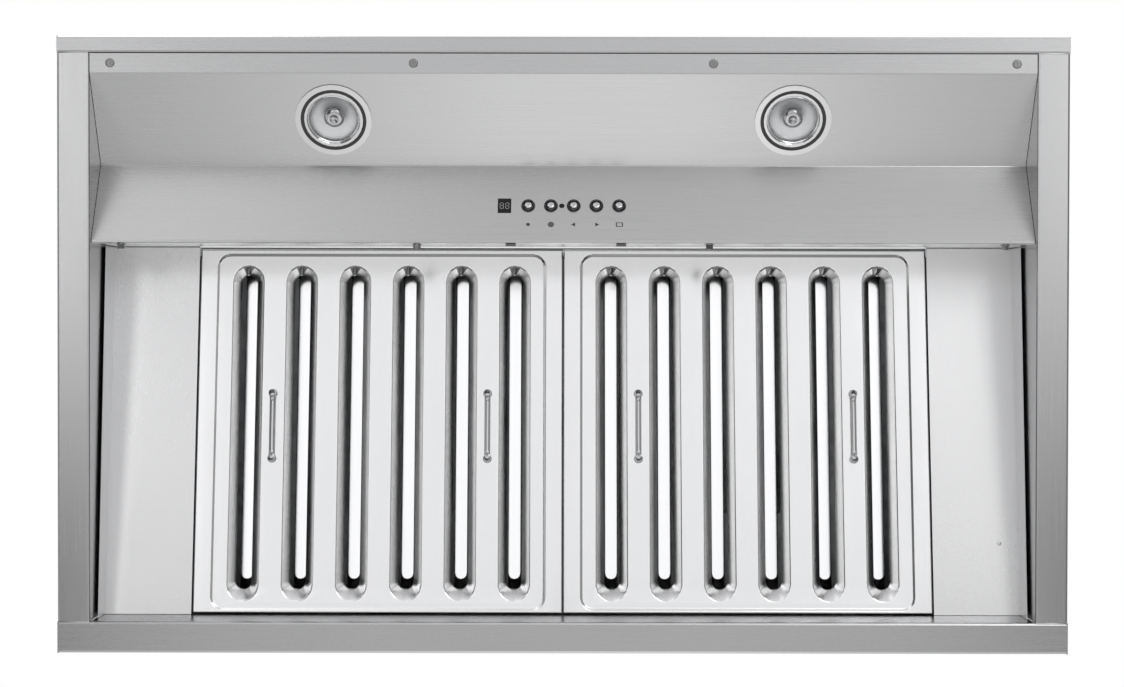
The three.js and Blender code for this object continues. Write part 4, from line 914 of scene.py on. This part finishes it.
def rounded_node(node_name, name, finish, body, radius):
    """A merged copy of a CAD node with its folds rounded, which stands for the node."""
    piece = bpy.data.objects.new(name, frame["nodes"][node_name].data.copy())
    piece.data.name = name
    bpy.context.scene.collection.objects.link(piece)
    selected_alone(piece)
    if piece.data.has_custom_normals:
        bpy.ops.mesh.customdata_custom_splitnormals_clear()
    open_mesh()
    take_all()
    bpy.ops.mesh.remove_doubles(threshold=0.01 * MM)
    close_mesh()
    rounding = piece.modifiers.new("rounding", "BEVEL")
    rounding.width = radius
    rounding.segments = 2
    rounding.limit_method = "ANGLE"
    rounding.angle_limit = math.radians(25)
    rounding.use_clamp_overlap = False
    rounding.harden_normals = False
    bpy.ops.object.modifier_apply(modifier=rounding.name)
    bpy.ops.object.shade_smooth_by_angle(angle=math.radians(40))
    flatness = piece.modifiers.new("flatness", "WEIGHTED_NORMAL")
    flatness.keep_sharp = True
    bpy.ops.object.modifier_apply(modifier=flatness.name)
    piece.data.materials.clear()
    piece.data.materials.append(finish)
    piece.select_set(False)
    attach(piece, body)
    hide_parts(node_name)
    return piece


def mark_painted_slope_light(piece):
    """Masks for painted shade and painted highlights on the slopes of a pressed plate.

    The front step of the border gets painted shade all over and the left sides of the slots in
    part, and the right sides of the slots get painted highlights, chosen by the way each face leans.
    """
    dull = piece.data.attributes.new("painted_slope_shade", "FLOAT", "FACE")
    bright = piece.data.attributes.new("painted_slope_highlight", "FLOAT", "FACE")
    front = min(corner.co.y for corner in piece.data.vertices)
    for i, face in enumerate(piece.data.polygons):
        near_front = front + 4 * MM < face.center.y < front + 22 * MM
        leaning = 0.6 < face.normal.dot(plate_down) < 0.985
        step = near_front and leaning and face.normal.y > 0.15
        left_side = 0.35 if face.normal.x > 0.7 else 0.0
        dull.data[i].value = 1.0 if step else left_side
        bright.data[i].value = 1.0 if face.normal.x < -0.7 else 0.0


filter_tilt = 0.14699
plate_down = Vector((0, -math.sin(filter_tilt), -math.cos(filter_tilt)))
hinge = Vector(frame["joints"][0]["pos_m"])
polished_plate = filter_steel("filter_plate_steel", (0.75, 0.75, 0.755), 0.15, 0.08)
# Painted shade (tone 0.18) and painted highlights (tone 0.98) on the slopes of the pressed plate, by the
# way each face leans.
for mask_name, tone in (("painted_slope_shade", 0.18), ("painted_slope_highlight", 0.98)):
    drawn = polished_plate.node_tree.nodes.new("ShaderNodeAttribute")
    drawn.attribute_name = mask_name
    overlaid(polished_plate, drawn.outputs["Fac"], tone)
polished_ridge = filter_steel("filter_ridge_steel", (0.92, 0.92, 0.925), 0.13, 0.05)
# The second sheet is toned 0.2 above the level of its ridges, standing for the shade deep in its channels:
# painted shade.
ridge_height = 28.7 * MM - plate_down.dot(hinge)
tilted_plane = {"Y": math.sin(filter_tilt), "Z": math.cos(filter_tilt), "At": ridge_height}
painted_channel_shade = group_node(polished_ridge.node_tree, over_plane, tilted_plane)
overlaid(polished_ridge, painted_channel_shade["Mask"], 0.2)
for side in ("left", "right"):
    node = "filter_plate_" + side
    plate_name = "pressed_plate_" + side
    body = "filter_" + side
    plate = rounded_node(node, plate_name, polished_plate, body, 0.45 * MM)
    mark_painted_slope_light(plate)
    dress("filter_baffle_" + side, polished_ridge)

# The handles are bent from polished stainless wire. Each leg ends in a flanged foot that is
# riveted to the plate.


def wire_handle(foot, top, reach, bend, radius):
    """A D-shaped wire in the plane of Y and Z, swept from a circle."""
    bpy.context.tool_settings.mesh_select_mode = (True, False, False)
    bpy.ops.mesh.primitive_circle_add(vertices=20, radius=radius, location=(0, -reach, foot))
    wire = bpy.context.object
    bpy.ops.object.transform_apply(location=True)
    quarter = {"steps": 8, "angle": math.pi / 2, "axis": (1, 0, 0)}
    open_mesh()
    take_all()
    bpy.ops.mesh.edge_face_add()
    pull((0, 0, top + bend - foot))
    bpy.ops.mesh.spin(center=(0, bend - reach, top + bend), **quarter)
    pull((0, 2 * (reach - bend), 0))
    bpy.ops.mesh.spin(center=(0, reach - bend, top + bend), **quarter)
    pull((0, 0, foot - top - bend))
    close_outward()
    return wire


def handle_foot():
    """A flanged foot: a low cone with a rolled edge, on the XY plane."""
    rings = [(0, 0), (3.9, 0), (4.1, 0.3), (3.9, 0.7), (3.4, 1.1), (3.1, 2.4), (0, 2.4)]
    return turned(rings, 24)


def node_middle(node):
    low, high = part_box(node)
    return (Vector(low) + Vector(high)) / 2


chrome_wire = brushed_steel("handle_chrome", (0.5, 0.5, 0.505), 0.1, (300, 300, 300), 0.03, 0.02)
filter_plane = Matrix.Translation((0, hinge.y, hinge.z)) @ Matrix.Rotation(-filter_tilt, 4, "X")
filter_length = 336.1 * MM
handle_y = 0.49 * filter_length
leg_reach = 30.2 * MM
down = Matrix.Rotation(math.pi, 4, "X")
for side in ("left", "right"):
    body = "filter_" + side
    for end in ("left", "right"):
        handle = f"{side}_{end}"
        node = "filter_handle_" + handle
        handle_place = filter_plane @ Matrix.Translation((node_middle(node).x, handle_y, 0))
        wire = wire_handle(-2 * MM, -19.2 * MM, leg_reach, 8 * MM, 2.75 * MM)
        wire_name = "handle_wire_" + handle
        finish_piece(wire, wire_name, chrome_wire, body, handle_place, 60)
        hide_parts(node)
        for leg, leg_y in (("front", -leg_reach), ("rear", leg_reach)):
            foot_place = handle_place @ Matrix.Translation((0, leg_y, -1.8 * MM)) @ down
            foot_name = f"handle_foot_{handle}_{leg}"
            finish_piece(handle_foot(), foot_name, chrome_wire, body, foot_place)

# ---- Filler panels -------------------------------------------
# Folded sheets that close the gaps between the filters and the side walls, brushed from front
# to rear. A rivet holds the right one to a hidden strap.


def rivet_head(radius, height):
    """A domed head of a radius and height in millimetres."""
    rings = [(0, height), (radius * 0.5, height * 0.87), (radius * 0.85, height * 0.5)]
    rings += [(radius, 0), (0, 0)]
    return turned(rings, 24)


def filler_height(y):
    """The underside of a filler panel at a place from front to rear, in metres."""
    return hinge.z - 3.2 * MM / math.cos(filter_tilt) - (y - hinge.y) * math.tan(filter_tilt)


filler_steel = brushed_steel("filler_steel", (0.64, 0.64, 0.644), 0.3, (1500, 8, 1500), 0.025, 0.03)
dress("filler_panel_left", filler_steel)
dress("filler_panel_right", filler_steel)
rivet_y = 182 * MM
filler_places = [((401 * MM, rivet_y, filler_height(rivet_y)), plate_down)]
in_places(lambda: rivet_head(1.9, 0.7), "filler_rivet", filler_places, filler_steel)

# ---- Filter rail, hanger rod and catches ---------------------
# A zinc coated rail behind the console's rear wall, a bright drawn rod on its tabs that the
# filters hang on, and two blued spring leaves riveted to the rear wall.

drawn_steel = brushed_steel("drawn_rod_steel", (0.5, 0.5, 0.5), 0.2, (30, 900, 900), 0.06)
blued_spring = brushed_steel("blued_spring_steel", (0.16, 0.17, 0.2), 0.28, (300, 300, 20), 0.15)
dress("filter_rail", zinc)
dress("hanger_rod", drawn_steel)
catch_places = []
for side in ("left", "right"):
    catch = "filter_catch_" + side
    dress(catch, blued_spring)
    catch_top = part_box(catch)[1]
    for shift in (-8, 8):
        rivet_x = node_middle(catch).x + shift * MM
        rivet_point = (rivet_x, catch_top.y - 0.5 * MM, catch_top.z - 7 * MM)
        catch_places.append((rivet_point, (0, -1, 0)))
in_places(lambda: rivet_head(2.2, 1.1), "catch_rivet", catch_places, drawn_steel)

# ---- Blower box ----------------------------------------------
# A box of zinc coated sheet: one long sheet folded over the front, top and rear, and a flat end
# on each side. Its feet are screwed to the deck, and its corners are riveted.


def box_rivet():
    return rivet_head(2.4, 1)


for node in ("blower_wrap", "blower_end_left", "blower_end_right"):
    dress(node, zinc)
foot_top = deck_top + 1.5 * MM
foot_points = [(x, y) for x in (-180, -60, 60, 180) for y in (-108, 184)]
foot_points += [(side * 247, y) for side in (-1, 1) for y in (-60, 38, 136)]
foot_places = [((x * MM, y * MM, foot_top), UP) for x, y in foot_points]
in_places(deck_head, "foot_screw", foot_places, screw_steel)
foot_width = 14 * MM
end_sheet = 1.2 * MM
end_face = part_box("blower_end_right")[1].x - foot_width + end_sheet
corner_points = [(y, z) for y in (-93, 169) for z in (160, 205, 250, 290)]
corner_points += [(y, 293) for y in (-40, 38, 116)]
corner_places = [
    ((side * end_face, y * MM, z * MM), (side, 0, 0)) for side in (-1, 1) for y, z in corner_points
]
in_places(box_rivet, "box_rivet", corner_places, screw_steel)

# ---- Duct collar and damper ----------------------------------
# A rolled collar with a sealing bead, riveted by its flange to the box. Two zinc coated flaps
# hang on a rod across it, each with a strip of black foam round its edge and a light spring.


def half_ring(inner, outer, thickness, steps):
    """Half of a flat ring on the side of -X, on the XY plane."""
    bpy.context.tool_settings.mesh_select_mode = (False, False, True)
    bpy.ops.mesh.primitive_plane_add(size=1)
    ring = bpy.context.object
    ring.data.transform(Matrix.Diagonal((thickness, outer - inner, 1, 1)))
    ring.data.transform(Matrix.Rotation(math.pi / 2, 4, "Y"))
    ring.data.transform(Matrix.Translation((0, -(inner + outer) / 2, thickness / 2)))
    open_mesh()
    take_all()
    bpy.ops.mesh.spin(steps=steps, angle=math.pi, center=(0, 0, 0), axis=UP)
    close_outward()
    return ring


def damper_spring():
    """A coil of five turns with closed ends."""
    coil = wound_wire(3.6 * MM, 0.35 * MM, 8, 5, 6 * MM, 24)
    open_mesh()
    take_all()
    bpy.ops.mesh.fill_holes(sides=8)
    close_outward()
    return coil


foam = moulded("damper_foam", (0.03, 0.03, 0.03), 0.85, 1500)
spring_wire = brushed_steel("spring_wire", (0.5, 0.5, 0.48), 0.2, (900, 900, 900))
dress("duct_collar", zinc)
dress("damper_rod", drawn_steel)
collar_y = 53 * MM
flange_top = 301.1 * MM
flap_top = 301.3 * MM
rod_middle = 304.1 * MM
rivet_reach = 106 * MM
collar_places = []
for step in range(8):
    angle = math.pi / 8 + step * math.pi / 4
    rivet_point = (
        rivet_reach * math.cos(angle), collar_y + rivet_reach * math.sin(angle), flange_top
    )
    collar_places.append((rivet_point, UP))
in_places(box_rivet, "collar_rivet", collar_places, screw_steel)
for side, turn in (("left", 0), ("right", math.pi)):
    dress("damper_flap_" + side, zinc)
    flap_place = Matrix.Translation((0, collar_y, flap_top)) @ Matrix.Rotation(turn, 4, "Z")
    foam_strip = half_ring(88 * MM, 95 * MM, 1.6 * MM, 40)
    foam_name = "damper_foam_" + side
    finish_piece(foam_strip, foam_name, foam, "damper_" + side, flap_place)
spring_places = [((0, collar_y + y * MM, rod_middle), (0, 1, 0)) for y in (-60, 52)]
in_places(damper_spring, "damper_spring", spring_places, spring_wire, turn=0)

# ---- Scroll, motor and wheel ---------------------------------
# A zinc coated scroll with two inlets, hung from the top of the box. The motor stands on three
# arms in its left inlet, in a painted steel case, and the wheel on its shaft is rolled and
# staked from zinc coated strip.

for node in ("scroll_wrap", "scroll_cheek_left", "scroll_cheek_right"):
    dress(node, zinc)
dress("motor_bracket", drawn_steel)
dress("motor_body", moulded("motor_paint", (0.05, 0.055, 0.06), 0.35, 400))
dress("blower_wheel", zinc_coated("wheel_zinc", (0.56, 0.57, 0.58), 0.34))

# ---- Wiring box, bushing and capacitor -----------------------
# A zinc coated box on the deck with a cover that slips over it, held by two screws on each
# side, a black plastic bushing for the supply cable, and the motor's capacitor in the blower box,
# in a grey plastic case with two brass blades.


def brass_blade():
    """A flat terminal with a hole and a tapered tip, standing on the XY plane."""
    length = 8 * MM
    blade = block(6.3 * MM, 0.8 * MM, length)
    blade.data.transform(Matrix.Translation((0, 0, length / 2)))
    open_mesh()

    def across_top(edge):
        first, second = edge.verts
        return min(first.co.z, second.co.z) > MM and abs(first.co.y - second.co.y) > 0.5 * MM

    round_edges(across_top, 1.4 * MM, 1)
    close_mesh()
    bpy.ops.mesh.primitive_cylinder_add(vertices=16, radius=0.9 * MM, depth=3 * MM)
    drill = bpy.context.object
    drill.data.transform(Matrix.Translation((0, 0, 5 * MM)) @ Matrix.Rotation(math.pi / 2, 4, "X"))
    carve(blade, drill)
    return blade


dress("wiring_box", zinc)
dress("wiring_box_cover", zinc)
dress("cable_bushing", moulded("bushing_plastic", (0.02, 0.02, 0.022), 0.4))
dress("capacitor", moulded("capacitor_case", (0.2, 0.21, 0.22), 0.4))
cover_low, cover_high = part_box("wiring_box_cover")
cover_places = []
for x, outward in ((cover_low.x, -1), (cover_high.x, 1)):
    for y in (-38, 38):
        cover_places.append(((x, y * MM, cover_high.z - 5.2 * MM), (outward, 0, 0)))
in_places(lambda: pan_head_screw(2.8 * MM, 1.6 * MM), "cover_screw", cover_places, screw_steel)
brass = brushed_steel("terminal_brass", (0.75, 0.55, 0.25), 0.25, (400, 400, 400), 0.05)
case_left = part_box("capacitor")[0].x
case_middle = node_middle("capacitor")
blade_places = [
    ((case_left, case_middle.y + shift * MM, case_middle.z), (-1, 0, 0)) for shift in (-7, 7)
]
in_places(brass_blade, "capacitor_blade", blade_places, brass, turn=0)
